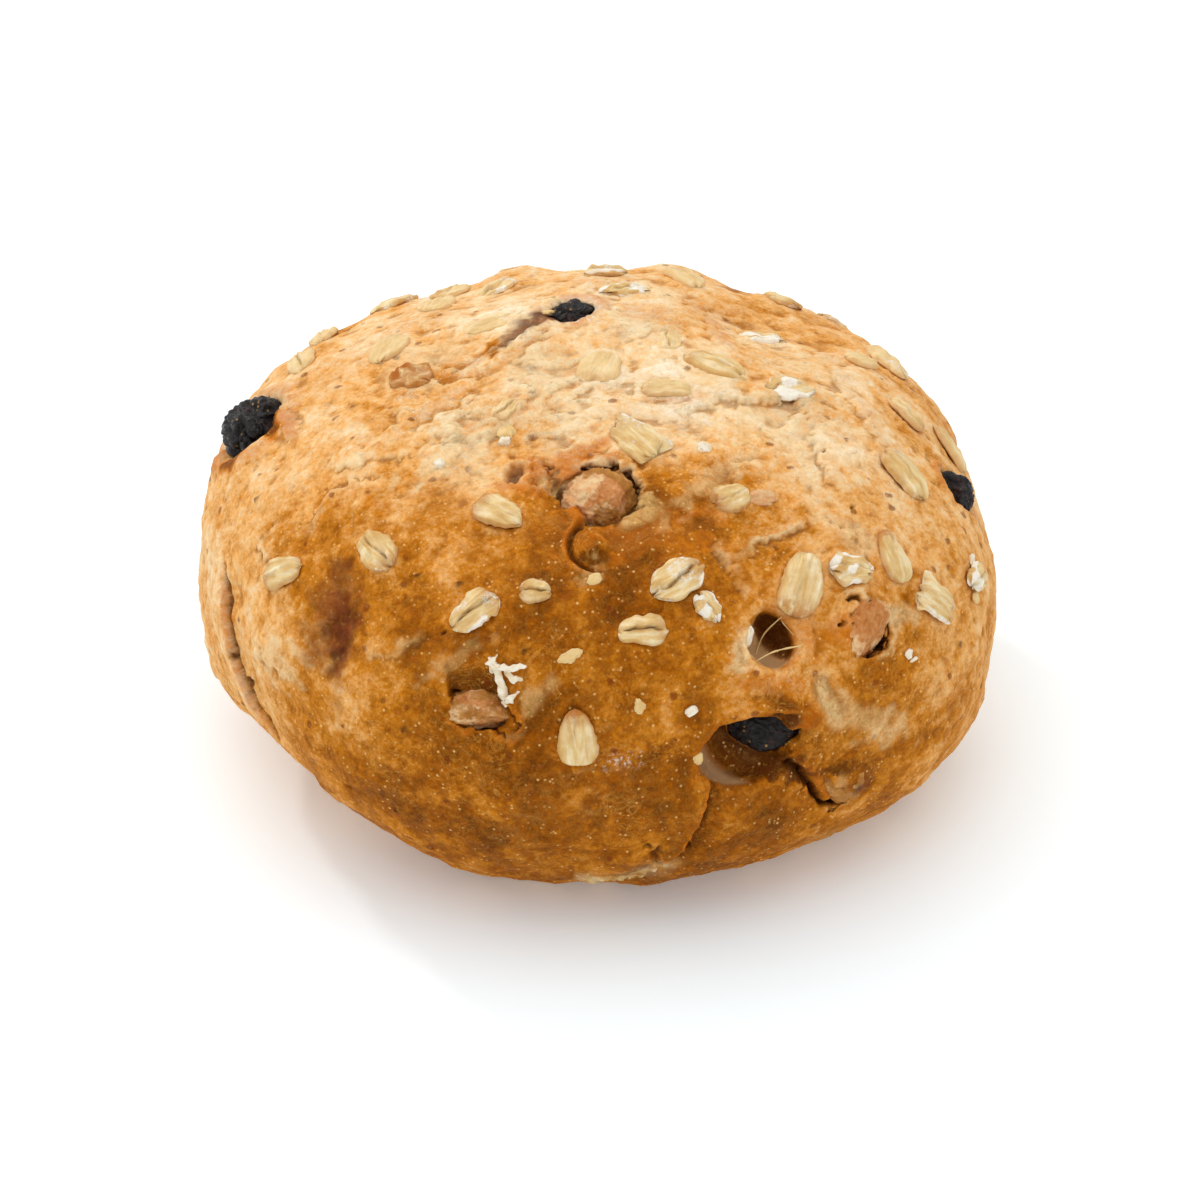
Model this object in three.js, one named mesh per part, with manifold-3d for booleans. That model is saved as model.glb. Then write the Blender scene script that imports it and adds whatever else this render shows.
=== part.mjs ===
// Bread roll with raisins and hazelnuts in the dough and rolled oats on the crust, baked on a flat tray.
// Millimetres, +Z up. The origin is on the tray, under the middle of the roll. The front of the roll faces -Y.
import * as THREE from "three";
import { mergeVertices } from "three/addons/utils/BufferGeometryUtils.js";
import Module from "manifold-3d";

const wasm = await Module();
wasm.setup();

// ---- Driving dimensions ----

const ROLL_WIDTH = 108; // left to right at the waist
const ROLL_DEPTH = 105; // front to back at the waist
const ROLL_HEIGHT = 58;
const WAIST_HEIGHT = 26; // level of the widest section
const UNDERSIDE_REACH = 34.5; // depth of the lower half below the waist, before the tray cuts it off
const PLAN_SQUARENESS = 2.15; // 2 is an ellipse seen from above
const SIDE_SQUARENESS = 2.3; // 2 is an ellipse seen from the side
const CRUST_DETAIL = 15; // cuts along each edge of the icosahedron that the crust is made from

const CLEARANCE = 0.3; // gap between the crust and each thing that sits in it or on it
const OAT_THICKNESS = 1.2;
const OAT_SIDES = 9;
const OAT_RINGS = 5;
const INCLUSION_DETAIL = 2; // cuts along each icosahedron edge of a raisin or a nut

const CRUST_COLOR = 0xb97732;
const RAISIN_COLOR = 0x1c1212;
const NUT_COLOR = 0xb27a45;
const OAT_COLOR = 0xd4b27a;

// ---- Places on the roll ----
// A place is a bearing and a height in degrees, seen from the middle of the waist.
// Bearing 0 is the front, 90 the right-hand side and 180 the back. Height 0 is the waist and 90 the crown.

const degrees = THREE.MathUtils.degToRad;

function towards(bearing, height) {
  const level = Math.cos(degrees(height));
  const x = Math.sin(degrees(bearing)) * level;
  const y = -Math.cos(degrees(bearing)) * level;
  return new THREE.Vector3(x, y, Math.sin(degrees(height)));
}

// ---- Dough shape: a squarish dome with swells, hollows and the seams where the dough was folded ----

// Broad swells (rise above 0) and hollows (below 0), each fading out over spread degrees.
const SWELLS = [
  { bearing: -70, height: -24, spread: 24, rise: -3.5 }, // drawn-in lower left side
  { bearing: -48, height: -32, spread: 16, rise: -2.0 },
  { bearing: 70, height: -22, spread: 17, rise: 2.2 }, // full lower right side
  { bearing: 132, height: 44, spread: 17, rise: -3.8 }, // flatter right shoulder
  { bearing: 98, height: 14, spread: 16, rise: -1.6 },
  { bearing: -150, height: 44, spread: 16, rise: -1.4 }, // left shoulder
  { bearing: 140, height: 12, spread: 7, rise: 1.2 }, // rises and dips along the back of the crown
  { bearing: 152, height: 21, spread: 6, rise: -1.4 },
  { bearing: 164, height: 29, spread: 6, rise: 2.4 },
  { bearing: 180, height: 28, spread: 6, rise: -1.0 },
  { bearing: -164, height: 31, spread: 6, rise: 2.2 },
  { bearing: -146, height: 28, spread: 6, rise: -0.5 },
  { bearing: -44, height: -16, spread: 9, rise: 0.8 }, // left jowl
  { bearing: -110, height: 14, spread: 14, rise: 0.9 },
  { bearing: -82, height: -12, spread: 11, rise: 2.6 }, // lobe behind the left fold
  { bearing: 60, height: 4, spread: 15, rise: 1.2 }, // right cheek
  { bearing: -20, height: -2, spread: 20, rise: 0.3 }, // front cheek
  { bearing: 22, height: 3.5, spread: 8, rise: -4.6 }, // hollow round the front raisin
  { bearing: 26, height: 13, spread: 6, rise: 1.4 }, // brow between the hollow and the gas hole
  { bearing: 31, height: 9.5, spread: 5, rise: 1.4 },
  { bearing: 43, height: 21.5, spread: 7, rise: 1.4 }, // dough humped over the right nut
  { bearing: 35, height: -7, spread: 6, rise: -1.6 }, // hollow round the lower nut
  { bearing: 2, height: 48, spread: 9, rise: -1.5 }, // crater round the centre nut
  { bearing: 8, height: 37, spread: 6, rise: 0.9 },
  { bearing: -15, height: 15, spread: 5, rise: -1.2 }, // sag above the left slit
  { bearing: -42, height: 17, spread: 5, rise: -0.9 }, // dimple over a buried raisin
  { bearing: -90, height: 25, spread: 10, rise: 0.9 }, // dough pushed up by the left raisin
  { bearing: -35, height: 50, spread: 9, rise: -0.9 }, // valley left of the centre nut
  { bearing: 66, height: 48, spread: 9, rise: -0.8 },
  { bearing: 150, height: 5, spread: 18, rise: 1.2 }, // unevenness round the back
  { bearing: -155, height: -8, spread: 16, rise: -1.4 },
  { bearing: -120, height: 6, spread: 12, rise: 0.8 },
];

// Each seam runs through its places. The dough on the left of the run stands proud by step and rolls over
// the dough on the right, and the groove between them is width degrees wide.
const SEAMS = [
  // from the hollow of the front raisin down under the roll
  {
    places: [[21, 15], [17, 10], [16, 3], [15, -5], [12, -14], [8, -22], [3, -34]],
    groove: 1.5,
    step: 1.8,
    width: 2.2,
  },
  // fold on the left side
  {
    places: [[-71, 14], [-65, 7], [-61, 2], [-57, -3], [-53, -11], [-50, -23]],
    groove: 1.1,
    step: -0.7,
    width: 2.2,
  },
  // fold round the back
  {
    places: [[172, 30], [166, 18], [163, 4], [168, -10], [176, -24]],
    groove: 0.9,
    step: 0.8,
    width: 2.6,
  },
];
const SEAM_SAMPLES = 48;
const STEP_FADE = 9; // degrees over which the proud side of a seam falls back to the dome
const SEAM_ENDS = 0.15; // share of a seam's length over which each end fades out

const seamRuns = SEAMS.map((seam) => {
  const curve = new THREE.CatmullRomCurve3(seam.places.map((place) => towards(...place)));
  const points = curve.getPoints(SEAM_SAMPLES).map((p) => p.normalize());
  return { ...seam, points };
});

function domeRadius(direction) {
  const reach = direction.z > 0 ? ROLL_HEIGHT - WAIST_HEIGHT : UNDERSIDE_REACH;
  const across = Math.abs((2 * direction.x) / ROLL_WIDTH) ** PLAN_SQUARENESS;
  const along = Math.abs((2 * direction.y) / ROLL_DEPTH) ** PLAN_SQUARENESS;
  const plan = (across + along) ** (SIDE_SQUARENESS / PLAN_SQUARENESS);
  return (plan + Math.abs(direction.z / reach) ** SIDE_SQUARENESS) ** (-1 / SIDE_SQUARENESS);
}

function swellRise(direction) {
  let rise = 0;
  for (const swell of SWELLS) {
    const away = THREE.MathUtils.radToDeg(direction.angleTo(towards(swell.bearing, swell.height)));
    rise += swell.rise * Math.exp(-((away / swell.spread) ** 2));
  }
  return rise;
}

// Groove and step of one seam. The side comes from the run's direction at its nearest point.
function seamRise(direction, seam) {
  let nearest = 0;
  seam.points.forEach((p, i) => {
    if (p.distanceToSquared(direction) < seam.points[nearest].distanceToSquared(direction)) nearest = i;
  });
  const at = seam.points[nearest];
  const before = seam.points[Math.max(nearest - 1, 0)];
  const after = seam.points[Math.min(nearest + 1, SEAM_SAMPLES)];
  const rightward = new THREE.Vector3().subVectors(after, before).cross(at).normalize();
  const away = THREE.MathUtils.radToDeg(direction.distanceTo(at));
  const side = THREE.MathUtils.radToDeg(rightward.dot(direction));
  const fromEnd = Math.min(nearest, SEAM_SAMPLES - nearest) / SEAM_SAMPLES;
  const strength = THREE.MathUtils.smoothstep(fromEnd, 0, SEAM_ENDS);
  const groove = -seam.groove * Math.exp(-((away / seam.width) ** 2));
  const proud = side < 0 ? seam.step * Math.exp(-((away / STEP_FADE) ** 2)) : 0;
  return strength * (groove + proud);
}

function crustRadius(direction) {
  let radius = domeRadius(direction) + swellRise(direction);
  for (const seam of seamRuns) radius += seamRise(direction, seam);
  return radius;
}

function crustPoint(direction) {
  const point = direction.clone().multiplyScalar(crustRadius(direction));
  point.z += WAIST_HEIGHT;
  return point;
}

// The frame of the crust at a place: x level along the crust, y up the crust, z out of it.
const FRAME_SPAN = 0.04; // radians between the points that the frame is taken from

function crustFrame(bearing, height) {
  const direction = towards(bearing, height);
  const aside = new THREE.Vector3(-direction.y, direction.x, 0).normalize();
  const upward = new THREE.Vector3().crossVectors(direction, aside);
  const pointAt = (axis, span) => crustPoint(direction.clone().addScaledVector(axis, span).normalize());
  const level = pointAt(aside, FRAME_SPAN).sub(pointAt(aside, -FRAME_SPAN));
  const rising = pointAt(upward, FRAME_SPAN).sub(pointAt(upward, -FRAME_SPAN));
  const out = new THREE.Vector3().crossVectors(level, rising).normalize();
  const x = new THREE.Vector3(0, 0, 1).cross(out).normalize();
  const y = new THREE.Vector3().crossVectors(out, x);
  return new THREE.Matrix4().makeBasis(x, y, out).setPosition(crustPoint(direction));
}

// Where a thing stands on the crust: turned about the way out, then sunk below the surface.
function seat(bearing, height, turn, sunk) {
  const turned = new THREE.Matrix4().makeRotationZ(degrees(turn));
  const lowered = new THREE.Matrix4().makeTranslation(0, 0, -sunk);
  return crustFrame(bearing, height).multiply(turned).multiply(lowered);
}

// ---- Solids ----

function moveEachPoint(geometry, move) {
  const position = geometry.getAttribute("position");
  const point = new THREE.Vector3();
  for (let i = 0; i < position.count; i++) {
    move(point.fromBufferAttribute(position, i));
    position.setXYZ(i, point.x, point.y, point.z);
  }
  return geometry;
}

function toSolid(geometry) {
  const bare = geometry.clone().deleteAttribute("normal").deleteAttribute("uv");
  const merged = mergeVertices(bare, 1e-4);
  const vertProperties = new Float32Array(merged.getAttribute("position").array);
  const triVerts = new Uint32Array(merged.index.array);
  return new wasm.Manifold(new wasm.Mesh({ numProp: 3, vertProperties, triVerts }));
}

function toGeometry(solid) {
  const mesh = solid.getMesh();
  const geometry = new THREE.BufferGeometry();
  geometry.setAttribute("position", new THREE.BufferAttribute(mesh.vertProperties, 3));
  geometry.setIndex(new THREE.BufferAttribute(mesh.triVerts, 1));
  geometry.computeVertexNormals();
  return geometry;
}

// An ellipsoid with a wandering surface: waves crossing it make the folds of a raisin or the dents of a nut.
function lumpGeometry(size, folds, roughness, grown = 0) {
  const lump = new THREE.IcosahedronGeometry(1, INCLUSION_DETAIL);
  return moveEachPoint(lump, (p) => {
    const crossing = Math.sin(folds * p.x + 2 * p.z) * Math.sin(folds * p.y - p.x);
    const lengthwise = Math.sin((folds / 2) * p.z + p.y);
    const radius = 1 + roughness * (crossing + lengthwise);
    const reach = size.map((half) => half * radius + grown);
    p.set(p.x * reach[0], p.y * reach[1], p.z * reach[2]);
  });
}

const oatMaterial = new THREE.MeshStandardMaterial({ color: OAT_COLOR, roughness: 0.75, metalness: 0 });
const raisinMaterial = new THREE.MeshStandardMaterial({ color: RAISIN_COLOR, roughness: 0.45, metalness: 0 });
const nutMaterial = new THREE.MeshStandardMaterial({ color: NUT_COLOR, roughness: 0.6, metalness: 0 });
const crustMaterial = new THREE.MeshStandardMaterial({ color: CRUST_COLOR, roughness: 0.55, metalness: 0 });

const roll = new THREE.Group();

function addMesh(name, geometry, material) {
  const mesh = new THREE.Mesh(geometry, material);
  mesh.name = name;
  roll.add(mesh);
}

// ---- Raisins and hazelnuts, half buried in the dough ----
// size is the half length, half width and half thickness. sunk is how far the middle lies below the crust.

const RAISINS = {
  raisin_left: { at: [-95.5, 22], size: [6.0, 4.6, 4.2], turn: 35, sunk: 1.0 },
  raisin_crown: { at: [-165, 65], size: [3.8, 2.8, 2.6], turn: 35, sunk: 1.1 },
  raisin_right: { at: [83, 17.6], size: [3.6, 2.8, 2.8], turn: 110, sunk: 0.9 },
  raisin_front: { at: [25.5, 4.2], size: [4.8, 3.8, 3.5], turn: 170, sunk: 2.7 },
  raisin_back: { at: [-165, 14], size: [5.2, 4.0, 3.6], turn: 20, sunk: 1.2 },
  raisin_back_low: { at: [112, -5], size: [4.6, 3.6, 3.2], turn: 70, sunk: 1.4 },
};
const HAZELNUTS = {
  hazelnut_centre: { at: [1, 46.7], size: [5.1, 4.8, 4.9], turn: 0, sunk: 2.0 },
  hazelnut_right: { at: [42.6, 15.7], size: [3.8, 2.6, 3.0], turn: 55, sunk: 2.1 },
  hazelnut_left: { at: [-17, 10.8], size: [4.0, 2.4, 3.0], turn: -12, sunk: 2.2 },
  hazelnut_low: { at: [38.3, -7.5], size: [3.8, 3.0, 3.0], turn: 125, sunk: 2.0 },
  hazelnut_back: { at: [-118, 9], size: [4.6, 4.2, 4.2], turn: 10, sunk: 2.4 },
};
const RAISIN_FOLDS = 7;
const RAISIN_ROUGHNESS = 0.05;
const NUT_FOLDS = 4;
const NUT_ROUGHNESS = 0.02;

const sockets = [];

function addInclusions(table, material, folds, roughness) {
  for (const [name, { at, size, turn, sunk }] of Object.entries(table)) {
    const stand = seat(...at, turn, sunk);
    addMesh(name, lumpGeometry(size, folds, roughness).applyMatrix4(stand), material);
    sockets.push(lumpGeometry(size, folds, roughness, CLEARANCE).applyMatrix4(stand));
  }
}

addInclusions(RAISINS, raisinMaterial, RAISIN_FOLDS, RAISIN_ROUGHNESS);
addInclusions(HAZELNUTS, nutMaterial, NUT_FOLDS, NUT_ROUGHNESS);

// ---- Openings in the crust: a burst gas bubble, a hollow and the splits beside two of the nuts ----

const OPENINGS = [
  { at: [27.8, 19.2], size: [4.0, 3.3, 5.2], turn: 70, sunk: 1.2 }, // gas bubble
  { at: [22.5, 4], size: [6.4, 4.8, 2.6], turn: 12, sunk: 0.3 }, // hollow that the front raisin lies in
  { at: [-17.3, 13.6], size: [3.6, 0.9, 2.4], turn: -4, sunk: 0.4 }, // split over the left nut
  { at: [33.5, -7.5], size: [3.4, 0.7, 2.2], turn: 128, sunk: 0.4 }, // split beside the lower nut
];
for (const { at, size, turn, sunk } of OPENINGS) {
  sockets.push(lumpGeometry(size, NUT_FOLDS, NUT_ROUGHNESS).applyMatrix4(seat(...at, turn, sunk)));
}

// ---- Rolled oats, each a thin oval that follows the crust under it ----
// One row each: bearing, height, length, width, and the turn of its length from level.

const OATS = [
  // left side and left shoulder
  [-110.5, 27.5, 7.5, 4.6, 30],
  [-107, 44, 8, 5, 0],
  [-138, 27.5, 8.5, 4.6, 20],
  [-137, 40, 7, 5, 40],
  [-146, 34, 8, 4.6, 35],
  [-154, 39, 8, 4.8, 25],
  [-122, 25.5, 6.5, 4.4, 35],
  [-128, 60, 9.5, 4.8, 172],
  [-88, 50.5, 6.5, 5, 50],
  // crown
  [10, 86, 8, 6, 60],
  [-46, 62, 4.5, 2.8, 90],
  [90, 63.5, 9, 5, 45],
  [119, 71, 6, 4, 140],
  [52, 70, 7, 3.4, 130],
  [124, 45, 7, 4.6, 40],
  [83, 49, 6, 5, 130],
  [15.5, 59, 7.4, 5.4, 135],
  [178, 41, 6, 4.4, 0],
  [170, 53, 6.5, 3.6, 50],
  [159, 37, 6.6, 4.6, 170],
  [142, 27.5, 6, 4.4, 10],
  // right side
  [71.5, 28, 8.6, 5, 62],
  [110, 32, 5, 3.4, 75],
  [115, 25, 7.5, 4.4, 25],
  [93, 28, 6.4, 3.4, 55],
  [95.5, 17.5, 7.6, 4.2, 52],
  [53.5, 22.2, 8, 4.2, 62],
  [56, 14.2, 6.6, 5, 122],
  [68, 11.5, 4.6, 3.6, 0],
  // front
  [-23, 40, 7.2, 4.6, 168],
  [32.5, 40.5, 5.4, 4.2, 5],
  [14.5, 29.7, 7.4, 5.4, 25],
  [18.5, 25.2, 4, 3, 112],
  [7.5, 23, 6.2, 4.2, 0],
  [35.2, 24.8, 9.2, 5.8, 58],
  [43.9, 24, 6, 4.6, 150],
  [-2.8, 8.8, 8, 5, 95],
  [-55.5, 18.8, 6.4, 4.2, 45],
  [-41.5, 28, 6.8, 4.6, 160],
  [-20, 24.3, 7, 4.8, 45],
  [-10.6, 28.2, 4, 3.2, 5],
  // back, where the sprinkling thins out
  [128, 4, 6.4, 4.2, 0],
  [157, 7, 7.4, 4.6, 138],
  [-163, 27, 8.4, 4.2, 95],
  [141, 13, 6.4, 4.6, 52],
  [-178, 26, 7.4, 4.2, 10],
  [-137, 9, 8.4, 4.6, 148],
  [152, 19, 6.4, 4.2, 105],
];

// A flattened ball laid on the crust: each of its points stands straight out from the crust below it.
function addOat(name, [bearing, height, length, width, turn]) {
  const flake = new THREE.SphereGeometry(1, OAT_SIDES, OAT_RINGS).rotateX(Math.PI / 2);
  const stand = seat(bearing, height, turn, 0);
  const out = new THREE.Vector3().setFromMatrixColumn(stand, 2);
  const middle = new THREE.Vector3(0, 0, WAIST_HEIGHT);
  moveEachPoint(flake, (p) => {
    const rise = CLEARANCE + (OAT_THICKNESS / 2) * (1 + p.z);
    const onPlane = new THREE.Vector3((p.x * length) / 2, (p.y * width) / 2, 0).applyMatrix4(stand);
    p.copy(crustPoint(onPlane.sub(middle).normalize())).addScaledVector(out, rise);
  });
  addMesh(name, flake, oatMaterial);
}

OATS.forEach((row, i) => addOat(`oat_flake_${String(i + 1).padStart(2, "0")}`, row));

// ---- Crust: the whole baked dough, with its sockets and openings cut out and its base flat on the tray ----

const TRAY_SIZE = 400;
const ball = new THREE.IcosahedronGeometry(1, CRUST_DETAIL);
const dough = moveEachPoint(ball, (p) => p.copy(crustPoint(p.normalize())));
const tray = new THREE.BoxGeometry(TRAY_SIZE, TRAY_SIZE, TRAY_SIZE).translate(0, 0, -TRAY_SIZE / 2);
let crust = toSolid(dough).subtract(toSolid(tray));
for (const socket of sockets) crust = crust.subtract(toSolid(socket));
addMesh("crust", toGeometry(crust), crustMaterial);

// The roll is centred over the origin.
const box = new THREE.Box3().setFromObject(roll, true);
const centre = box.getCenter(new THREE.Vector3());
roll.position.set(-centre.x, -centre.y, -box.min.z);

export default roll;
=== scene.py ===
import math

import bpy
import numpy as np
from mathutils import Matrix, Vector
from mathutils.bvhtree import BVHTree


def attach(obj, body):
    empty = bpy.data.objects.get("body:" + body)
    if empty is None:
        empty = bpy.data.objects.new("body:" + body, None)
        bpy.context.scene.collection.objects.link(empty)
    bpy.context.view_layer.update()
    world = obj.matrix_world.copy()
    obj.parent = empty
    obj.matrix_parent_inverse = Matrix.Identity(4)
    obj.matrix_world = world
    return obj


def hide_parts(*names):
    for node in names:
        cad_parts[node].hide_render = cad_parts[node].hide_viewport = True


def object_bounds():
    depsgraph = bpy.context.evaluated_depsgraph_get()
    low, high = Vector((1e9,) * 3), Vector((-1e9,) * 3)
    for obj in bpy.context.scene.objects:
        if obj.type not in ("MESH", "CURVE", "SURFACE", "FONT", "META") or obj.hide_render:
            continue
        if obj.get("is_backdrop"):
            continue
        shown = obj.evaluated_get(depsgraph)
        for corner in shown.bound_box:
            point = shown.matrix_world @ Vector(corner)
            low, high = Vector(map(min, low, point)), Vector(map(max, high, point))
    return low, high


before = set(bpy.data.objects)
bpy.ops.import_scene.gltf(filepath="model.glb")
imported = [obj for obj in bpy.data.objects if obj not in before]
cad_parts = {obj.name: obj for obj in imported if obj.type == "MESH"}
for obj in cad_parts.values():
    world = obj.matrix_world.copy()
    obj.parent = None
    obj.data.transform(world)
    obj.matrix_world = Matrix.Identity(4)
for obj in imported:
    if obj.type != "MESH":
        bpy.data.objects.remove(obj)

CAD_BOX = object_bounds()
MM = 0.001

# ---- The baked dough ----
# One round of yeast dough, folded under itself and baked on a flat tray: crust and crumb are one piece. Its
# skin starts from the solid model, evened out to small faces, which get finer towards the front and at every
# split, fold and hollow.

SKIN_FACE = 1.2  # mm, side of a face of the even skin
WAIST_MIDDLE = np.array([0.0, -0.33, 26.0])  # mm, the middle of the roll's widest section
FRONT_DETAIL_BEARING = 93  # degrees to each side of the front that get faces half as wide
CREST_DETAIL_HEIGHT = 47  # degrees above which the skin gets them all round


def pick(piece):
    bpy.ops.object.select_all(action="DESELECT")
    piece.select_set(True)
    bpy.context.view_layer.objects.active = piece


def apply_modifiers(piece):
    pick(piece)
    for modifier in list(piece.modifiers):
        bpy.ops.object.modifier_apply(modifier=modifier.name)


def points_of(piece):
    flat = np.empty(len(piece.data.vertices) * 3)
    piece.data.vertices.foreach_get("co", flat)
    return flat.reshape(-1, 3) / MM


def move_points(piece, points):
    piece.data.vertices.foreach_set("co", (points * MM).ravel())
    piece.data.update()


def unit(v):
    return v / np.linalg.norm(v, axis=-1, keepdims=True)


def towards(bearing, height):
    """The way from the waist's middle to a place: bearing 0 is front, 90 right, height 90 the crown."""
    b, h = math.radians(bearing), math.radians(height)
    return np.array([math.sin(b) * math.cos(h), -math.cos(b) * math.cos(h), math.sin(h)])


dough = bpy.data.objects.new("baked_dough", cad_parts["crust"].data.copy())
bpy.context.scene.collection.objects.link(dough)
dough.data.materials.clear()
pick(dough)
bpy.ops.object.mode_set(mode="EDIT")
bpy.ops.mesh.select_all(action="SELECT")
bpy.ops.mesh.remove_doubles(threshold=1e-6)
bpy.ops.object.mode_set(mode="OBJECT")
even = dough.modifiers.new("even", "REMESH")
even.mode = "VOXEL"
even.voxel_size = SKIN_FACE * MM
rounded = dough.modifiers.new("rounded", "SMOOTH")
rounded.iterations = 5
apply_modifiers(dough)

shell = BVHTree.FromObject(dough, bpy.context.evaluated_depsgraph_get())


def stand(bearing, height, ring=5.0):
    """The crust at a place: its point, and the ways level, up and out, by a ring of feelers round it."""
    way = towards(bearing, height)
    level = unit(np.cross([0, 0, 1], way))
    up = np.cross(way, level)
    feelers = []
    for turn in np.linspace(0, 2 * math.pi, 12, endpoint=False):
        lean = math.radians(ring) * (math.cos(turn) * level + math.sin(turn) * up)
        ray = unit(way + lean)
        start = (WAIST_MIDDLE + 90 * ray) * MM
        hit = shell.ray_cast(Vector(start), Vector(-ray))[0]
        feelers.append(np.array(hit) / MM)
    feelers = np.array(feelers)
    for _ in range(3):
        middle = feelers.mean(axis=0)
        out = np.linalg.svd(feelers - middle)[2][2]
        out = out * np.sign(out @ way)
        proud = (feelers - middle) @ out
        kept = proud > -0.8
        if kept.all() or kept.sum() < 5:
            break
        feelers = feelers[kept]
    reach = ((middle - WAIST_MIDDLE) @ out) / (way @ out)
    point = WAIST_MIDDLE + way * reach + 0.25 * out
    level = unit(np.cross([0, 0, 1], out))
    return point, level, np.cross(out, level), out


def seen_at(points, place, turn=0):
    """Each point's mm along, across and out of the crust at a place, along being turned from level."""
    point, level, up, out = stand(*place)
    t = math.radians(turn)
    along = math.cos(t) * level + math.sin(t) * up
    away = points - point
    return away @ along, away @ np.cross(out, along), away @ out


def soft(edge0, edge1, x):
    """0 below edge0 and 1 above edge1, with a soft step between."""
    t = np.clip((x - edge0) / (edge1 - edge0), 0, 1)
    return t * t * (3 - 2 * t)


def wander(points, period, seed):
    """A smooth unevenness of about -1 to 1 that changes over period mm."""
    chance = np.random.default_rng(seed)
    waves = unit(chance.normal(size=(9, 3))) * (2 * math.pi / period) * chance.uniform(0.6, 1.5, (9, 1))
    return np.sin(points @ waves.T + chance.uniform(0, 2 * math.pi, 9)).sum(axis=1) / 3.6


def run_through(places, count=28):
    """Points and outward ways of the crust along a smooth run through places."""
    ways = np.array([towards(*place) for place in places])
    marks = np.linspace(0, len(places) - 1, count)
    chain = []
    for mark in marks:
        i = min(int(mark), len(places) - 2)
        f = mark - i
        before, after = max(i - 1, 0), min(i + 2, len(places) - 1)
        a, b, c, d = ways[before], ways[i], ways[i + 1], ways[after]
        bend = (2 * a - 5 * b + 4 * c - d) * f**2 + (3 * b - a - 3 * c + d) * f**3
        chain.append(0.5 * (2 * b + (c - a) * f + bend))
    spots = []
    for way in unit(np.array(chain)):
        bearing = math.degrees(math.atan2(way[0], -way[1]))
        point, level, up, out = stand(bearing, math.degrees(math.asin(way[2])))
        spots.append((point, out if out @ way > 0.7 else way))  # feelers that fell into a socket tilt out
    return np.array([s[0] for s in spots]), np.array([s[1] for s in spots])


def beside(points, places):
    """For each point: how far it is from a run through places, how far along it lies (0 to 1), and on which
    side (above 0 is to the right of the run, seen from outside)."""
    chain, outs = run_through(places)
    apart = np.full(len(points), 99.0)
    along = np.zeros(len(points))
    side = np.zeros(len(points))
    reach = np.ptp(chain, axis=0).max() + 12
    near = np.nonzero(np.linalg.norm(points - chain.mean(axis=0), axis=1) < reach)[0]
    close = points[near]
    best = np.full(len(near), 99.0)
    for i in range(len(chain) - 1):
        a, step = chain[i], chain[i + 1] - chain[i]
        f = np.clip((close - a) @ step / (step @ step), 0, 1)
        foot = a + f[:, None] * step
        away = close - foot
        proud = away @ outs[i]
        gap = np.linalg.norm(away - proud[:, None] * outs[i], axis=1) + 9 * (np.abs(proud) > 7)
        closer = gap < best
        best[closer] = gap[closer]
        along[near[closer]] = (i + f[closer]) / (len(chain) - 1)
        side[near[closer]] = (away @ unit(np.cross(step, outs[i])))[closer]
    apart[near] = best
    return apart, along, side


def refine(piece, chosen):
    """Cuts each chosen face into four."""
    pick(piece)
    bpy.context.tool_settings.mesh_select_mode = (False, False, True)
    bpy.ops.object.mode_set(mode="EDIT")
    bpy.ops.mesh.select_all(action="DESELECT")
    bpy.ops.object.mode_set(mode="OBJECT")
    piece.data.polygons.foreach_set("select", chosen)
    bpy.ops.object.mode_set(mode="EDIT")
    bpy.ops.mesh.subdivide(number_cuts=1)
    bpy.ops.object.mode_set(mode="OBJECT")
    smoothing = piece.modifiers.new("smoothing", "SMOOTH")
    smoothing.iterations = 2
    apply_modifiers(piece)


def face_middles(piece):
    flat = np.empty(len(piece.data.polygons) * 3)
    piece.data.polygons.foreach_get("center", flat)
    return flat.reshape(-1, 3) / MM


middles = face_middles(dough) - WAIST_MIDDLE
bearings = np.degrees(np.arctan2(middles[:, 0], -middles[:, 1]))
heights = np.degrees(np.arcsin(unit(middles)[:, 2]))
in_front = (np.abs(bearings) < FRONT_DETAIL_BEARING) & (heights > -33)
refine(dough, in_front | (heights > CREST_DETAIL_HEIGHT))

# Places with small shapes, and how many mm round each get the finest faces.
FINE_PLACES = {
    (0, 45): 9.0,  # centre nut and the crater round it
    (-28, 51): 3.5,
    (-3, 35.5): 4.0,  # torn flap
    (28, 19): 6.0,  # gas bubble
    (23, 6): 8.0,  # raisin hollow
    (-16, 12): 6.5,  # left split
    (42, 17): 5.5,  # right nut
    (34, -7): 6.0,  # lower nut
    (-165, 65): 4.5,
    (83, 17.6): 4.5,
    (-95.5, 22): 5.5,
    (-62, 0): 4.0,
}
FRONT_SEAM = [(19, 9), (17.4, 4), (16.8, 0), (15.3, -4), (14.0, -8.5), (12.2, -13), (8.5, -20), (3, -33)]
LEFT_FOLD = [(-75, 13.5), (-70.4, 9.3), (-66.8, 5.2), (-64.2, 1), (-61.6, -3), (-58.6, -8), (-54, -16)]
BACK_FOLD = [(172, 30), (166, 18), (163, 4), (168, -10), (176, -24)]
TORN_LIP = [(11.2, -15.5), (9, -18.5), (5.5, -21), (0.5, -21.5), (-4, -21)]
LEFT_CRACK = [(-55, 39), (-59, 33), (-62, 31), (-60, 27), (-60, 24), (-64, 20)]
middles = face_middles(dough)
fine = np.zeros(len(middles), bool)
for place, reach in FINE_PLACES.items():
    fine |= np.linalg.norm(middles - stand(*place)[0], axis=1) < reach
for run, reach in ((FRONT_SEAM, 2.2), (LEFT_FOLD, 2.2), (TORN_LIP, 1.8), (LEFT_CRACK, 1.3)):
    fine |= beside(middles, run)[0] < reach
refine(dough, fine)

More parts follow.
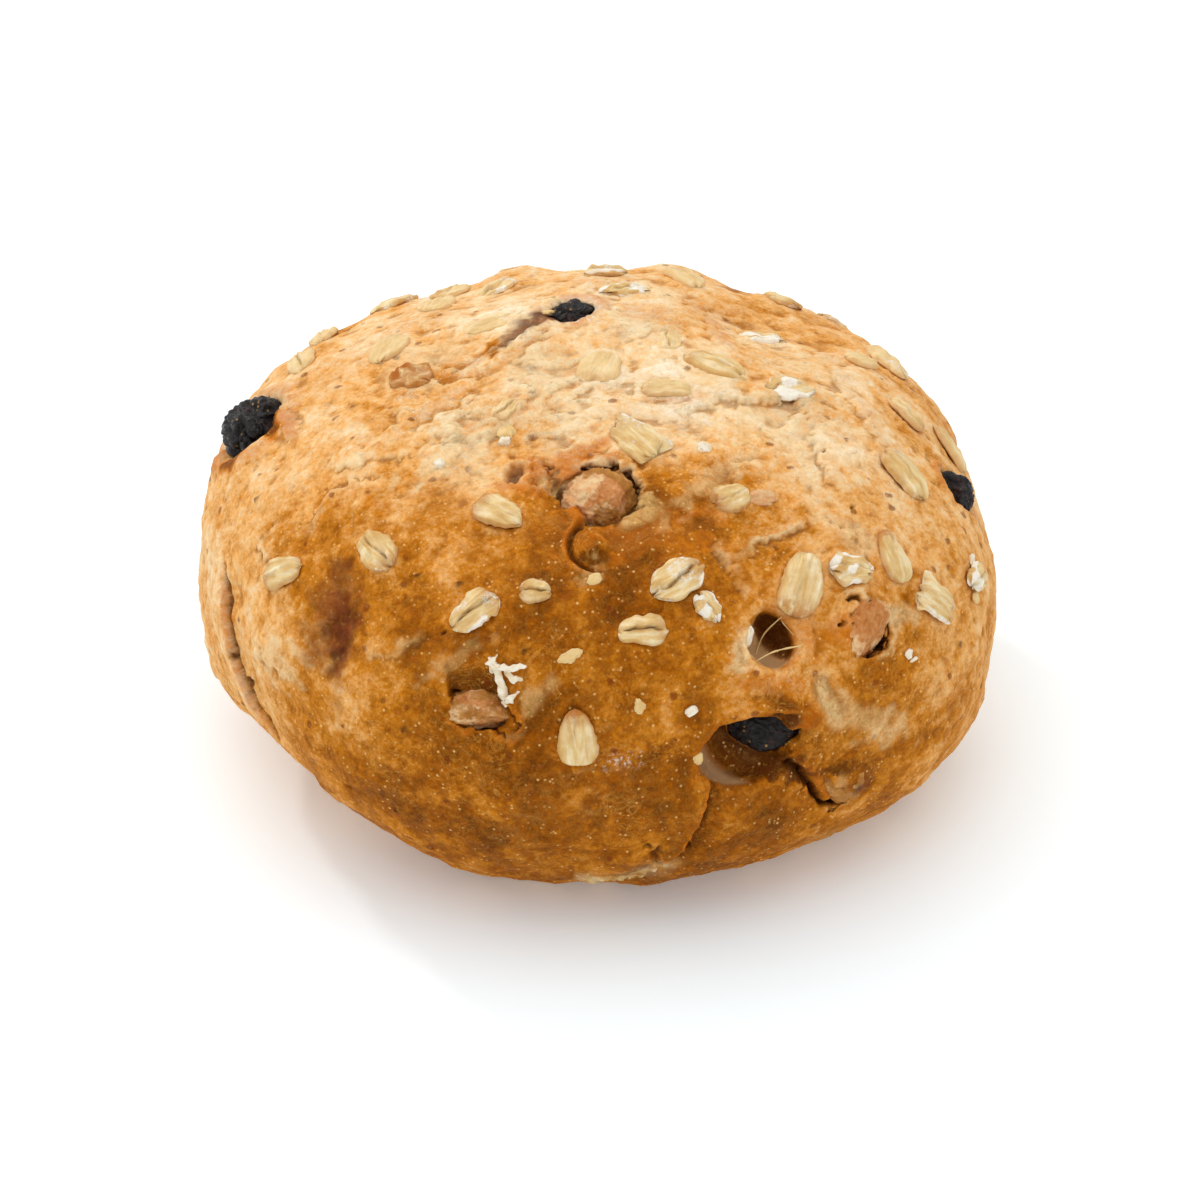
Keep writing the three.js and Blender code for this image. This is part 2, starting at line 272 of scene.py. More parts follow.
# The skin rose unevenly in the oven: broad lumps, smaller ones, wrinkles, and the fine orange peel of a
# crust.
RELIEF = (("broad_lumps", 14, 1.2), ("lumps", 5.0, 0.8), ("wrinkles", 2.3, 0.45), ("peel", 1.1, 0.26))
for name, width, height in RELIEF:
    cloud = bpy.data.textures.new(name, "CLOUDS")
    cloud.noise_scale = width * MM
    cloud.noise_depth = 2
    rise = dough.modifiers.new(name, "DISPLACE")
    rise.texture = cloud
    rise.texture_coords = "LOCAL"
    rise.strength = height * MM
apply_modifiers(dough)

skin = points_of(dough)
flat_normals = np.empty(len(skin) * 3)
dough.data.vertices.foreach_get("normal", flat_normals)
outward = flat_normals.reshape(-1, 3)
PAINTS = ("bake", "pale", "stain", "crumb", "flour", "gloom", "orange", "film", "dry")
marks = {name: np.zeros(len(skin)) for name in PAINTS}
ends = np.empty(len(dough.data.edges) * 2, int)
dough.data.edges.foreach_get("vertices", ends)
ends = ends.reshape(-1, 2)
neighbours = np.bincount(ends.ravel(), minlength=len(skin))[:, None]


def relax(points, amount, rounds):
    """Evens out points by their neighbours, by amount (0 to 1 per point) in each round."""
    for _ in range(rounds):
        around = np.zeros_like(points)
        for axis in range(3):
            around[:, axis] = np.bincount(ends[:, 0], points[ends[:, 1], axis], len(points))
            around[:, axis] += np.bincount(ends[:, 1], points[ends[:, 0], axis], len(points))
        points = points + (around / neighbours - points) * amount
    return points


def push(amount):
    """Moves the skin outward by amount mm at each point."""
    skin[:] = skin + outward * amount[:, None]


def paint(name, amount):
    marks[name] = np.maximum(marks[name], amount)


def bell(x, width):
    return np.exp(-((x / width) ** 2))


def blot(place, length, width, turn=0, ragged=0.3, seed=1):
    """How much a soft-edged oval blot at a place covers each point, from 0 to 1."""
    u, v, w = seen_at(skin, place, turn)
    whole = np.hypot(u / length, v / width)
    far = whole * (1 + ragged * np.clip(wander(skin, 1.2 * width, seed), -1.1, 1.5))
    return (1 - soft(0.5, 1.2, far)) * (1 - soft(1.3, 1.8, whole)) * (np.abs(w) < 12)


# How each raisin and nut sits in its socket: its size beside the solid's, and how many mm deeper it has sunk.
SITS = {
    "raisin_left": (1.04, 0.3),
    "raisin_crown": (1.15, 0.3),
    "raisin_right": (1.0, 0.3),
    "raisin_front": (1.04, 0.7),
    "raisin_back": (1.04, 1.1),
    "raisin_back_low": (1.04, 1.2),
    "hazelnut_centre": (0.95, 0.4),
    "hazelnut_right": (1.16, 0.45),
    "hazelnut_left": (1.18, 1.15),
    "hazelnut_low": (1.16, 0.7),
    "hazelnut_back": (1.02, 1.1),
}


def axes_of(node):
    """Middle, half sizes and ways (longest first, thinnest outward) of a CAD node, in mm."""
    corners = np.array([tuple(v.co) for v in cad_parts[node].data.vertices]) / MM
    middle = (corners.min(axis=0) + corners.max(axis=0)) / 2
    ways = np.linalg.svd(corners - corners.mean(axis=0), full_matrices=False)[2]
    out = ways[2] * np.sign(ways[2] @ (middle - WAIST_MIDDLE))
    along = ways[0]
    across = np.cross(out, along)
    ways = np.array([along, across, out])
    reach = (corners - middle) @ ways.T
    middle = middle + ((reach.max(axis=0) + reach.min(axis=0)) / 2) @ ways
    return middle, np.ptp(reach, axis=0) / 2, ways


def hug(node, gap=0.04, reach=1.4, loose=None):
    """Draws a socket's walls against the raisin or nut in it. loose keeps them off, from 0 to 1 per point."""
    middle, halves, axes = axes_of(node)
    spread, sunk = SITS[node]
    middle = middle - sunk * unit(middle - WAIST_MIDDLE)
    halves = halves * spread
    inside = ((skin - middle) @ axes.T) / halves
    far = np.linalg.norm(inside, axis=1)
    pull = 1 - soft(1.08, reach, far)
    if loose is not None:
        pull = pull * (1 - loose)
    target = middle + (skin - middle) * ((1 + gap) / np.maximum(far, 0.2))[:, None]
    skin[:] = skin + (target - skin) * pull[:, None]
    return far


def split_open(run, width, depth, start=0.12, end=0.12, ragged=0.0, seed=1):
    """A split in the skin along a run: how open it is at each point, and where each point lies beside it."""
    apart, along, side = beside(skin, run)
    side = side + ragged * wander(skin, 1.6, seed)
    fade = soft(0, start, along) * (1 - soft(1 - end, 1, along))
    gap = bell(side, width) * (apart < 3 * width + 1.5 * ragged) * fade
    push(-depth * gap)
    return gap, apart, along, side, fade


def opening(places, ragged=0.0, seed=1):
    """How many mm each point lies outside a closed outline through places (below 0 inside it)."""
    ways = np.array([towards(*place) for place in places])
    way = unit(ways.mean(axis=0))
    middle = (math.degrees(math.atan2(way[0], -way[1])), math.degrees(math.asin(way[2])))
    point, level, up, out = stand(*middle)
    rim = np.array([stand(*place)[0] for place in places]) - point
    rim = np.stack([rim @ level, rim @ up], axis=1)
    apart = np.full(len(skin), 99.0)
    near = np.nonzero(np.linalg.norm(skin - point, axis=1) < np.linalg.norm(rim, axis=1).max() + 6)[0]
    spots = np.stack([(skin[near] - point) @ level, (skin[near] - point) @ up], axis=1)
    nearest = np.full(len(near), 99.0)
    inside = np.zeros(len(near), bool)
    for a, b in zip(rim, np.roll(rim, -1, axis=0)):
        step = b - a
        f = np.clip((spots - a) @ step / (step @ step), 0, 1)
        nearest = np.minimum(nearest, np.linalg.norm(spots - a - f[:, None] * step, axis=1))
        crosses = (a[1] > spots[:, 1]) != (b[1] > spots[:, 1])
        where = a[0] + (spots[:, 1] - a[1]) * step[0] / (step[1] if abs(step[1]) > 1e-9 else 1e-9)
        inside ^= crosses & (spots[:, 0] < where)
    apart[near] = np.where(inside, -nearest, nearest) + ragged * wander(skin[near], 1.3, seed)
    return apart


def bury(place, half_width, half_height, bare, rise=0.4):
    """Lays the skin over a socket, rise mm above what is round it, except where it is bare (0 to 1)."""
    u, v, w = seen_at(skin, place)
    far = np.hypot(u / half_width, v / half_height)
    roof = rise * (1 - far**2) - (u**2 + v**2) / 105 - 0.25
    lift = (1 - soft(1.0, 1.35, far)) * (1 - bare) * (np.abs(w) < 9) * np.maximum(roof - w, 0)
    skin[:] = skin + lift[:, None] * stand(*place)[3]


# Where the roll is a little fuller than an even dome: bearing, height, spread in degrees, and mm.
FULLER = [(-150, 62, 14, 1.2), (140, 58, 14, 1.6), (15, -25, 20, -0.6), (-45, -22, 12, -0.8)]
FULLER += [(-74, -13, 8, 1.1)]
for bearing, height, spread, amount in FULLER:
    away = np.degrees(np.arccos(np.clip(unit(skin - WAIST_MIDDLE) @ towards(bearing, height), -1, 1)))
    push(amount * bell(away, spread))

# Layers of drying skin lie over each other where the dough stretched, and each ends in a low ragged step.
skin_heights = np.degrees(np.arcsin(unit(skin - WAIST_MIDDLE)[:, 2]))
drawn = skin * (0.6, 1.0, 1.0)  # the layers run mostly from left to right
layers = 1.25 * wander(drawn, 19, 140) + 0.4 * wander(drawn, 7.5, 141) + 0.13 * wander(drawn, 2.8, 142)
layers += 0.05 * wander(skin, 1.2, 143)
patchy = soft(-0.5, 0.7, wander(skin, 19, 144))
stretched = np.maximum(soft(34, 50, skin_heights), 0.4 * soft(0.0, 0.9, wander(skin, 24, 145))) * patchy
step_place = layers - np.floor(layers)
push(stretched * (0.55 * soft(0.0, 0.07, step_place) * (1 - step_place) - 0.15))
paint("dry", np.maximum(stretched, 0.3 * soft(-0.5, 0.8, wander(skin, 13, 146))))
paint("pale", 0.35 * stretched * bell(step_place - 0.1, 0.07))
# painted shade at the foot of each step
paint("gloom", 0.25 * stretched * bell(step_place - 0.99, 0.03))
paint("orange", 0.4 * stretched * soft(0.3, 0.6, step_place) * (1 - soft(0.75, 0.95, step_place)))
fine_layers = 2.0 * wander(drawn, 9, 150) + 0.6 * wander(drawn, 3.2, 151) + 0.15 * wander(skin, 1.3, 152)
fine_place = fine_layers - np.floor(fine_layers)
thin = soft(25, 48, skin_heights) * soft(0.0, 0.9, wander(skin, 11, 153))
push(0.12 * thin * soft(0.0, 0.1, fine_place) * (1 - fine_place))
paint("pale", 0.5 * soft(0.3, 1.0, wander(drawn, 14, 154)) * soft(36, 52, skin_heights))

# Centre nut: it sits in a shallow crater. The dough cracked open round its upper right.
push(-0.5 * blot((1, 46.7), 7.5, 6.5, seed=3))
u, v, w = seen_at(skin, (1, 46.7))
round_nut = np.degrees(np.arctan2(v, u))
from_nut = np.hypot(u, v)
near_nut = np.abs(w) < 7
crevice = soft(-50, -25, round_nut) * (1 - soft(105, 135, round_nut))
far = hug("hazelnut_centre", loose=crevice * 0.5)
jag = 0.4 * wander(skin, 1.9, 61) + 0.2 * wander(skin, 0.8, 62)
gape = crevice * bell(from_nut + jag - 5.1, 0.35) * near_nut
push(-1.6 * gape)
# painted shade down in the crack round the nut
paint("gloom", gape)
push(0.45 * crevice * bell(from_nut + jag - 6.2, 0.6) * near_nut)
paint("pale", 0.85 * crevice * bell(from_nut + jag - 5.8, 0.4) * near_nut)
lap = (1 - crevice) * bell(from_nut + jag - 4.6, 0.6) * near_nut
push(0.5 * lap)
paint("orange", 0.5 * lap)
shoulder = blot((10.5, 42), 2.2, 3.6, 60, seed=9)
push(0.5 * shoulder)
paint("pale", 0.65 * shoulder)
paint("orange", 0.9 * blot((-8, 54), 6.0, 1.7, 12, 0.5, 2))
push(0.4 * blot((-6, 53), 5.0, 1.3, 12, seed=2))

# A crumb cavity lies open on the nut's left, with a second pit beyond an upright ridge.
cavity = blot((-10.3, 47.5), 2.3, 2.7, 80, 0.35, 4)
push(-1.5 * cavity)
paint("crumb", cavity)
# painted shade deep in the cavity
paint("gloom", 0.8 * blot((-12.6, 49.6), 1.1, 0.6, 30, 0.4, 64))
ridge = blot((-17.5, 50.0), 3.3, 0.9, 105, 0.4, 5)
push(1.0 * ridge)
paint("orange", 0.9 * blot((-17.5, 49.0), 4.4, 1.7, 105, 0.4, 5))
burst = blot((-25.8, 49.7), 1.9, 1.3, 100, 0.15, 6)
push(-2.0 * burst)
paint("film", 0.9 * burst)
# painted shade in the burst pit and the small pit beside it
paint("gloom", 0.5 * blot((-26.3, 49.9), 1.0, 0.6, 100))
paint("gloom", blot((-16.2, 52.6), 0.75, 0.5, 20, seed=7))
push(-1.2 * blot((-16.2, 52.6), 0.7, 0.45, 20, seed=7))
push(-0.8 * blot((-30, 53.5), 0.7, 0.5))
paint("orange", 0.75 * blot((-24, 46.5), 3.0, 1.3, 20, 0.5, 11))

# A crescent of skin tore loose below the nut and curls away on its left.
bury((-8.0, 37.2), 4.2, 4.8, 0.0, 0.1)
skin[:] = relax(skin, 0.6 * blot((-8.5, 37.0), 4.2, 4.4, ragged=0.0)[:, None], 12)
FLAP = [(-2.5, 40.6), (-5.2, 39.0), (-5.8, 36.3), (-4.2, 33.9), (-1, 32.6), (3.5, 32.2)]
push(0.8 * blot((-1.0, 37.0), 2.6, 2.3, 20, 0.2, 12))
tear, apart, along, side, fade = split_open(FLAP, 0.3, 1.0, 0.1, 0.25, 0.06, 13)
curl = bell(side - 0.6, 0.35) * (apart < 3) * fade
push(0.45 * curl)
# painted shade in the tear
paint("gloom", 0.9 * tear * (1 - 0.6 * along))
paint("orange", 0.9 * curl)
paint("bake", 0.6 * blot((-0.5, 34.5), 2.5, 1.2, 10, seed=14))
paint("pale", 0.5 * blot((-1, 38.5), 1.8, 0.8, 10, seed=15))
TONGUE = [(-6.5, 43.5), (-5, 41.5), (-3.5, 40.5)]
apart, along, side = beside(skin, TONGUE)
push(0.8 * bell(apart, 0.6))
paint("orange", bell(apart, 0.7))
gap = split_open([(-3.2, 41.2), (-1.2, 41.0), (1.0, 41.8)], 0.35, 1.0)[0]
# painted shade in the gap
paint("gloom", gap)

# A bubble burst just under the skin and left a smooth hole. Its lit left wall is painted cream with the film
# colour as painted light, and deep inside on its shaded upper right it is painted dark brown as painted shade.
u, v, w = seen_at(skin, (27.8, 19.2), 0)
from_hole = np.hypot(u / 3.1, v / 3.7)
deep = soft(-0.5, -2.2, w) * (from_hole < 1.7)
shaded = soft(-0.4, 1.3, u + 0.5 * v)
skin += (0.9 * deep * (1 - shaded))[:, None] * stand(27.8, 19.2)[3]
paint("film", deep * (1 - shaded))
paint("bake", deep * shaded)
paint("gloom", 0.6 * deep * soft(0.6, 2.2, u + 0.5 * v))
push(0.45 * bell(from_hole - 1.25, 0.2) * (np.abs(w) < 2.5))
paint("orange", 0.6 * bell(from_hole - 1.15, 0.15) * (np.abs(w) < 2.5) * soft(-1, 1.5, u))
paint("pale", 0.65 * blot((22.5, 18.3), 1.6, 2.8, -25, seed=16))
push(-0.6 * blot((23.2, 18.6), 1.5, 2.2, -25, seed=16))
paint("orange", 0.55 * blot((33.5, 18.5), 1.6, 3.2, 10, seed=17))
push(0.5 * blot((33, 18.8), 1.3, 3.0, 10, seed=17))

# The dough sank round the front raisin: pale and smooth on the left, burnt below the raisin, with a swollen
# brow hanging over it. Painted shade darkens the raisin's rim, the part under the brow and the right side.
HOLLOW = [(16.2, 3.7), (16.6, 6.4), (18.6, 8.9), (23.7, 10.0), (27.5, 8.4), (29.3, 5.4), (30.0, 1.2)]
HOLLOW += [(27.0, -1.6), (22.4, -2.8), (18.6, -1.9), (16.6, 0.4)]
outside = opening(HOLLOW)
push(-1.1 * soft(0.3, -1.6, outside))
skin[:] = relax(skin, 0.6 * soft(0.5, -0.3, outside)[:, None], 24)
far = hug("raisin_front", reach=1.2)
skin[:] = relax(skin, 0.5 * (soft(-0.2, -0.8, outside) * soft(1.0, 1.1, far))[:, None], 10)
u, v, w = seen_at(skin, (23, 3.5))
lip = bell(outside - 0.9, 1.0)
push(0.5 * lip)
brow = bell(outside - 1.3, 1.7) * soft(-0.5, 2.5, v + 0.25 * u) * (np.abs(w) < 8)
point, level, up, out = stand(23, 9)
skin += (1.2 * brow)[:, None] * (0.85 * out - 0.35 * up)
within = soft(0.25, -0.35, outside)
paint("film", within * (1 - soft(-3.4, -1.4, u + 0.1 * v)))
paint("bake", within * soft(-2.6, 0.2, u + 0.2 * v))
paint("gloom", within * bell(far - 1.05, 0.12) * 0.8)
paint("gloom", within * soft(1.2, 2.6, v - 0.1 * u) * soft(-3.0, -1.2, u) * 0.8)
paint("gloom", within * soft(1.8, 3.4, u) * 0.7)
paint("bake", 0.75 * brow * soft(-2.5, 1.5, u))
paint("orange", 0.55 * bell(outside - 0.4, 0.7) * soft(-3, 0, v))
knob = blot((30.6, 7.6), 1.7, 2.6, 70, seed=18)
push(1.0 * knob)
paint("bake", 0.55 * knob)
paint("orange", 0.7 * knob)
paint("bake", 0.95 * blot((24.5, -1.6), 4.2, 1.5, -20, 0.5, 20))
paint("bake", 0.8 * blot((29.2, -1.2), 2.6, 1.3, -35, 0.6, 21))
paint("pale", 0.75 * blot((34.4, 8.5), 1.7, 4.6, 28, 0.3, 23))
push(-0.6 * blot((34.4, 8.5), 1.6, 4.4, 28, seed=23))
paint("pale", 0.45 * blot((41, 3), 8, 2.6, -38, 0.6, 24))
paint("orange", 0.6 * blot((26, 13.5), 6, 1.4, -8, 0.4, 25))

# Where the dough was folded, the left side rolls over the right. Painted shade gives the dark line between
# them and a darker brown band on the lower right side. Each run, how proud its left side is and how far that
# rolls over, the groove's depth and width, where along the run it starts, and how toasted its rim is.
FOLDS = (
    (FRONT_SEAM, 1.4, 0.8, 0.6, 0.35, 0.24, 1.0),
    (LEFT_FOLD, 0.8, 0.15, 0.7, 0.3, 0.02, 0.7),
    (BACK_FOLD, 0.7, 0.4, 0.9, 0.6, 0.05, 1.0),
)
for run, proud, over, depth, width, start, toasted in FOLDS:
    apart, along, side = beside(skin, run)
    side = 0.35 * wander(skin, 5, 26) + 0.13 * wander(skin, 1.7, 27) - side  # above 0 is on the right
    fade = soft(start, start + 0.2, along) * (1 - soft(0.75, 0.95, along)) * (apart < 9)
    left = soft(0.45, -0.45, side)
    push(fade * left * proud * bell(side, 4.5))
    push(-fade * (1 - left) * 0.35 * proud * bell(side, 3))
    groove = bell(side - 0.3, width) * fade
    push(-depth * groove)
    push(-0.5 * depth * bell(side - 0.15, 0.2) * fade)
    rightward = stand(*run[len(run) // 2])[1]
    skin += rightward * (fade * over * bell(side + 0.9, 1.1))[:, None]
    paint("gloom", bell(side - 0.18, 0.22) * fade * (apart < 2) * (0.75 + 0.35 * wander(skin, 2.5, 37)))
    paint("orange", toasted * bell(side + 0.45, 0.45) * fade * (apart < 3))
    paint("bake", 0.25 * bell(side - 1.0, 0.8) * fade * (apart < 4))
apart, along, side = beside(skin, TORN_LIP)
torn = bell(apart, 1.7) * soft(0, 0.1, along) * (1 - soft(0.85, 1.0, along))
torn *= 0.8 + 0.3 * wander(skin, 2.2, 31)
push(torn * (0.5 + 0.3 * wander(skin, 0.9, 30)))
paint("crumb", 1.2 * torn)
# painted shade under the torn lip
under = bell(side - 1.9, 0.3) * (apart < 2.6) * soft(0, 0.2, along) * (1 - soft(0.6, 0.9, along))
paint("gloom", 0.6 * under)
# painted shade in two small splits beside the lip
for run in ([(9.5, -11), (8.5, -14), (10.2, -16.5)], [(6.5, -9.5), (8.5, -12.5), (9, -15)]):
    gap = split_open(run, 0.2, 0.6, ragged=0.2, seed=32)[0]
    paint("gloom", 0.8 * gap)

# The skin broke over the left nut. Above it the crust sags into a dark gap, and below it ends in a ragged
# crack. Painted shade darkens the gap, the slope just above it and the crack.
BARE_LEFT = [(-21.2, 13.2), (-17.5, 13.5), (-14.5, 13.2), (-12.6, 11.6), (-11.2, 9.8), (-12.0, 7.5)]
BARE_LEFT += [(-14.4, 8.4), (-16.8, 9.4), (-18.0, 9.0), (-18.9, 8.0), (-20.8, 9.4)]
outside = opening(BARE_LEFT, 0.22, 34)
above = soft(12.7, 13.2, np.degrees(np.arcsin(unit(skin - WAIST_MIDDLE)[:, 2])))
bare = soft(0.12, -0.12, outside)
far = hug("hazelnut_left", reach=1.15)
bury((-17, 11), 5.6, 5.2, np.maximum(bare, above))
u, v, w = seen_at(skin, (-17.6, 13.0))
pocket = soft(-4.1, -3.4, u + 0.25 * v) * (1 - soft(1.8, 4.0, u)) * (np.abs(w) < 8)
slope = pocket * soft(0.1, 0.45, v) * (1 - soft(3.0, 6.0, v))
fall = -1.25 * (1 - soft(0.2, 5.0, v))
skin += (slope * (fall - w))[:, None] * stand(-17.6, 13.0)[3]
slit = pocket * soft(-0.6, -0.25, v) * (1 - soft(0.1, 0.45, v)) * (1 - soft(1.6, 3.4, u))
skin += (slit * (-2.8 - w))[:, None] * stand(-17.6, 13.0)[3]
paint("gloom", slit)
paint("gloom", 0.4 * pocket * soft(0.3, 0.7, v) * (1 - soft(0.7, 1.6, v)) * (1 - soft(1.2, 3, u)))
paint("bake", 0.5 * pocket * soft(-0.6, 0.2, v) * (1 - soft(1.5, 5.0, v)))
crack = bell(outside, 0.16) * (1 - above) * soft(-1.2, 0.2, wander(skin, 2.2, 35))
push(-0.5 * crack)
paint("gloom", 0.95 * crack)
push(0.3 * bell(outside - 0.5, 0.4) * (1 - above))
paint("orange", 0.5 * bell(outside - 0.4, 0.3) * (1 - above))
VALLEY = [(-11, 8), (-9.0, 10.5), (-7.7, 13.5), (-7.8, 17)]
apart, along, side = beside(skin, VALLEY)
push(-0.9 * bell(apart, 1.2) * (1 - soft(0.6, 1.0, along)))
paint("pale", 0.4 * blot((-9.5, 12.5), 1.3, 3.4, -30, 0.5, 36))
paint("pale", 0.3 * blot((-22, 17.5), 4.5, 1.2, 40, 0.6, 37))

# The right nut lifted the skin, which cracked open along its right side.
BARE_RIGHT = [(43.9, 18.8), (45.6, 17.4), (46.4, 15.4), (45.2, 13.6), (42.5, 12.9)]
BARE_RIGHT += [(40.0, 13.0), (38.8, 14.4), (40.4, 16.0), (41.8, 17.8)]
push(0.9 * blot((42.0, 16.0), 4.6, 3.6, 55, 0.2, 38))
outside = opening(BARE_RIGHT, 0.15, 39)
bare = soft(0.12, -0.12, outside)
far = hug("hazelnut_right", reach=1.12)
bury((42.6, 15.7), 5.4, 5.2, bare, 1.0)
CRACK_RIGHT = [(41.6, 20.9), (43.4, 20.4), (44.2, 19.0), (46.4, 17.6), (46.8, 15.6)]
CRACK_RIGHT += [(45.6, 13.2), (42.8, 12.6)]
gap, apart, along, side, fade = split_open(CRACK_RIGHT, 0.28, 1.1, 0.04, 0.1, 0.2, 39)
# painted shade down in the crack
paint("gloom", 0.95 * gap)
push(0.35 * bell(side + 0.8, 0.5) * (apart < 2) * fade)
paint("pale", 0.5 * bell(side + 0.9, 0.4) * (apart < 2) * fade)
paint("orange", 0.7 * blot((40.0, 17.0), 3.0, 4.2, 60, 0.3, 40))
paint("bake", 0.35 * blot((38.6, 16.6), 1.6, 2.2, 60, 0.3, 40))
# painted shade in two small pits beside the nut
paint("gloom", 0.95 * blot((39.2, 18.1), 0.6, 0.32, 10))
push(-0.9 * blot((39.2, 18.1), 0.55, 0.3, 10))
paint("gloom", 0.8 * blot((41.2, 18.9), 0.7, 0.25, 25))
paint("pale", 0.6 * blot((49, 15.5), 1.4, 3.6, 70, 0.5, 41))
push(-0.5 * blot((49, 15.5), 1.4, 3.4, 70, seed=41))

# A cleft runs from the burnt edge of the hollow along the lower nut, which is all but covered.
BARE_LOW = [(33.4, -4.8), (35.4, -4.6), (38.4, -7.6), (39.4, -10.0)]
BARE_LOW += [(38.4, -11.0), (36.2, -10.6), (34.2, -8.0)]
outside = opening(BARE_LOW, 0.2, 47)
bare = soft(0.12, -0.12, outside)
far = hug("hazelnut_low", reach=1.12)
bury((38.3, -7.5), 4.9, 4.9, bare, 0.8)
SPLIT_LOW = [(28.0, 0.4), (29.4, -1.6), (31.6, -4.4), (33.4, -7.8), (35.4, -10.4), (38.4, -11.2)]
slot, apart, along, side, fade = split_open(SPLIT_LOW, 0.45, 1.9, 0.12, 0.08, 0.2, 42)
# painted shade down in the cleft
paint("gloom", slot)
push(0.5 * bell(side + 1.3, 0.8) * (apart < 3) * fade)
paint("bake", 0.95 * blot((29.8, -2.2), 3.0, 1.5, -50, 0.6, 43))
paint("bake", 0.6 * blot((36.5, -4.0), 3.4, 0.9, -14, 0.5, 46))
paint("stain", 0.75 * blot((40.6, -8.6), 1.5, 1.1, -10, 0.4, 45))
paint("orange", 0.6 * bell(side + 1.0, 0.7) * (apart < 3) * fade)
paint("pale", 0.4 * blot((36.8, -7.0), 1.2, 1.8, -10, seed=49))

# painted shade on the socket walls deep beside the right and lower nuts
for place in ((42.6, 15.7), (38.3, -7.5)):
    u, v, w = seen_at(skin, place)
    paint("gloom", soft(-0.35, -1.0, w) * (np.hypot(u, v) < 4.6) * (np.abs(w) < 8))

# Dough drew up round the raisins near the surface, with painted shade where each raisin meets the dough.
shallow_raisins = [node for node in SITS if node.startswith("raisin") and node != "raisin_front"]
for node in shallow_raisins + ["hazelnut_back"]:
    far = hug(node)
    collar = bell(far - 1.42, 0.2)
    push(0.5 * collar * (0.7 + 0.4 * wander(skin, 5, 44)))
    paint("orange", 0.8 * collar * soft(-0.8, 0.3, wander(skin, 6, 45)))
    paint("gloom", 0.8 * (1 - soft(1.04, 1.2, far)))
peel = blot((-89, 29), 5.0, 1.3, 22, 0.3, 46)
push(0.8 * peel)
paint("orange", peel)
paint("bake", blot((-90.0, 26.8), 3.2, 2.2, 30, 0.3, 59))
paint("bake", 0.9 * blot((-89.5, 19), 1.8, 4.0, -30, 0.3, 60))
paint("orange", blot((-96, 14.5), 1.6, 3.6, 10, 0.4, 47))
push(0.9 * blot((-96, 14.5), 1.2, 3.2, 10, 0.4, 47))

# Juice ran out of the raisins under the skin and left purple-brown stains.
paint("stain", 0.7 * blot((-43.4, 17.2), 8.2, 4.4, 112, 0.3, 48))
paint("stain", 0.9 * blot((-42.6, 16.8), 6.4, 3.2, 112, 0.3, 58))
paint("stain", 1.0 * blot((-41.0, 14.8), 5.2, 2.1, 106, 0.25, 49))
push(-0.5 * blot((-41.8, 15.8), 5.0, 1.8, 110, 0.25, 49))
for i, spot in enumerate([(-150, 67), (-138, 67.3), (-126, 67.4), (-114, 67.2)]):
    paint("stain", (1.0 - 0.1 * i) * blot(spot, 3.0, 1.7 - 0.2 * i, 15, ragged=0.4, seed=50 + i))
paint("bake", 0.7 * blot((-104, 65.5), 4.0, 1.2, 15, 0.4, 52))
paint("stain", 0.5 * blot((86, 10), 1.8, 1.4, 80, seed=53))
paint("stain", 0.5 * blot((150, 28), 4.5, 2.2, 60, 0.5, 54))

# Ridges and scarps, where the skin stretched, tore and dried at different times. Each is a run, the height of
# its left side, the depth of the crack along it, and how pale and how orange its edge is. Each crack is also
# darkened with painted shade.
SCARPS = [
    ([(-152, 72), (-125, 71), (-100, 64), (-85, 58)], 0.7, 0.1, 0.7, 0.2),
    ([(-70, 62), (-58, 58), (-45, 58), (-30, 62)], 0.5, 0.1, 0.6, 0.0),
    ([(-62, 50), (-52, 51), (-42, 55), (-38, 60)], 0.5, 0.2, 0.7, 0.0),
    ([(-20, 66), (0, 68), (25, 66), (42, 60)], 0.5, 0.1, 0.6, 0.2),
    ([(40, 62), (62, 60), (74, 53), (80, 47), (68, 41)], 0.8, 0.3, 0.6, 0.1),
    ([(68, 43), (60, 38), (56, 33)], 0.7, 0.4, 0.3, 0.2),
    ([(118, 36), (98, 40), (86, 37), (76, 32)], 0.7, 0.2, 0.6, 0.5),
    ([(145, 42), (140, 50), (125, 58), (100, 60)], 0.6, 0.1, 0.3, 0.8),
    ([(24, 34), (27, 31), (33, 32.5), (40, 32), (47, 33)], 0.6, 0.3, 0.8, 0.2),
    ([(25, 36), (24, 32), (26, 28), (25, 25)], 0.4, 0.3, 0.6, 0.3),
    ([(8, 40), (16, 38), (24, 39), (31, 37)], 0.5, 0.0, 0.0, 0.6),
    ([(48, 22), (50, 27), (48, 32)], 0.4, 0.3, 0.7, 0.0),
    ([(-72, 34), (-66, 34), (-60, 40), (-54, 44)], 0.25, 0.35, 0.7, 0.0),
    ([(-67.5, 22.5), (-65.5, 21), (-66, 18.5), (-63, 18), (-60.5, 20)], 0.2, 0.4, 0.4, 0.0),
    ([(-55, 39.5), (-57.5, 35.5), (-62, 31.5), (-60, 28), (-58.5, 26), (-62, 22.5)], 0.2, 0.35, 0.5, 0.0),
    ([(-36, 14), (-31, 16), (-27, 20)], 0.3, 0.2, 0.5, 0.0),
    ([(-58, 9), (-53, 6), (-47, 7)], 0.3, 0.3, 0.6, 0.0),
    ([(-120, 20), (-114, 14), (-116, 6)], 0.4, 0.3, 0.4, 0.2),
    ([(170, 52), (178, 47), (-174, 49)], 0.5, 0.2, 0.5, 0.2),
    ([(130, 24), (137, 21), (141, 26)], 0.4, 0.3, 0.4, 0.3),
    ([(-165, 36), (-155, 31), (-146, 33), (-140, 25)], 0.6, 0.2, 0.5, 0.3),
    ([(100, 8), (108, 12), (120, 10), (132, 14)], 0.5, 0.2, 0.3, 0.4),
]
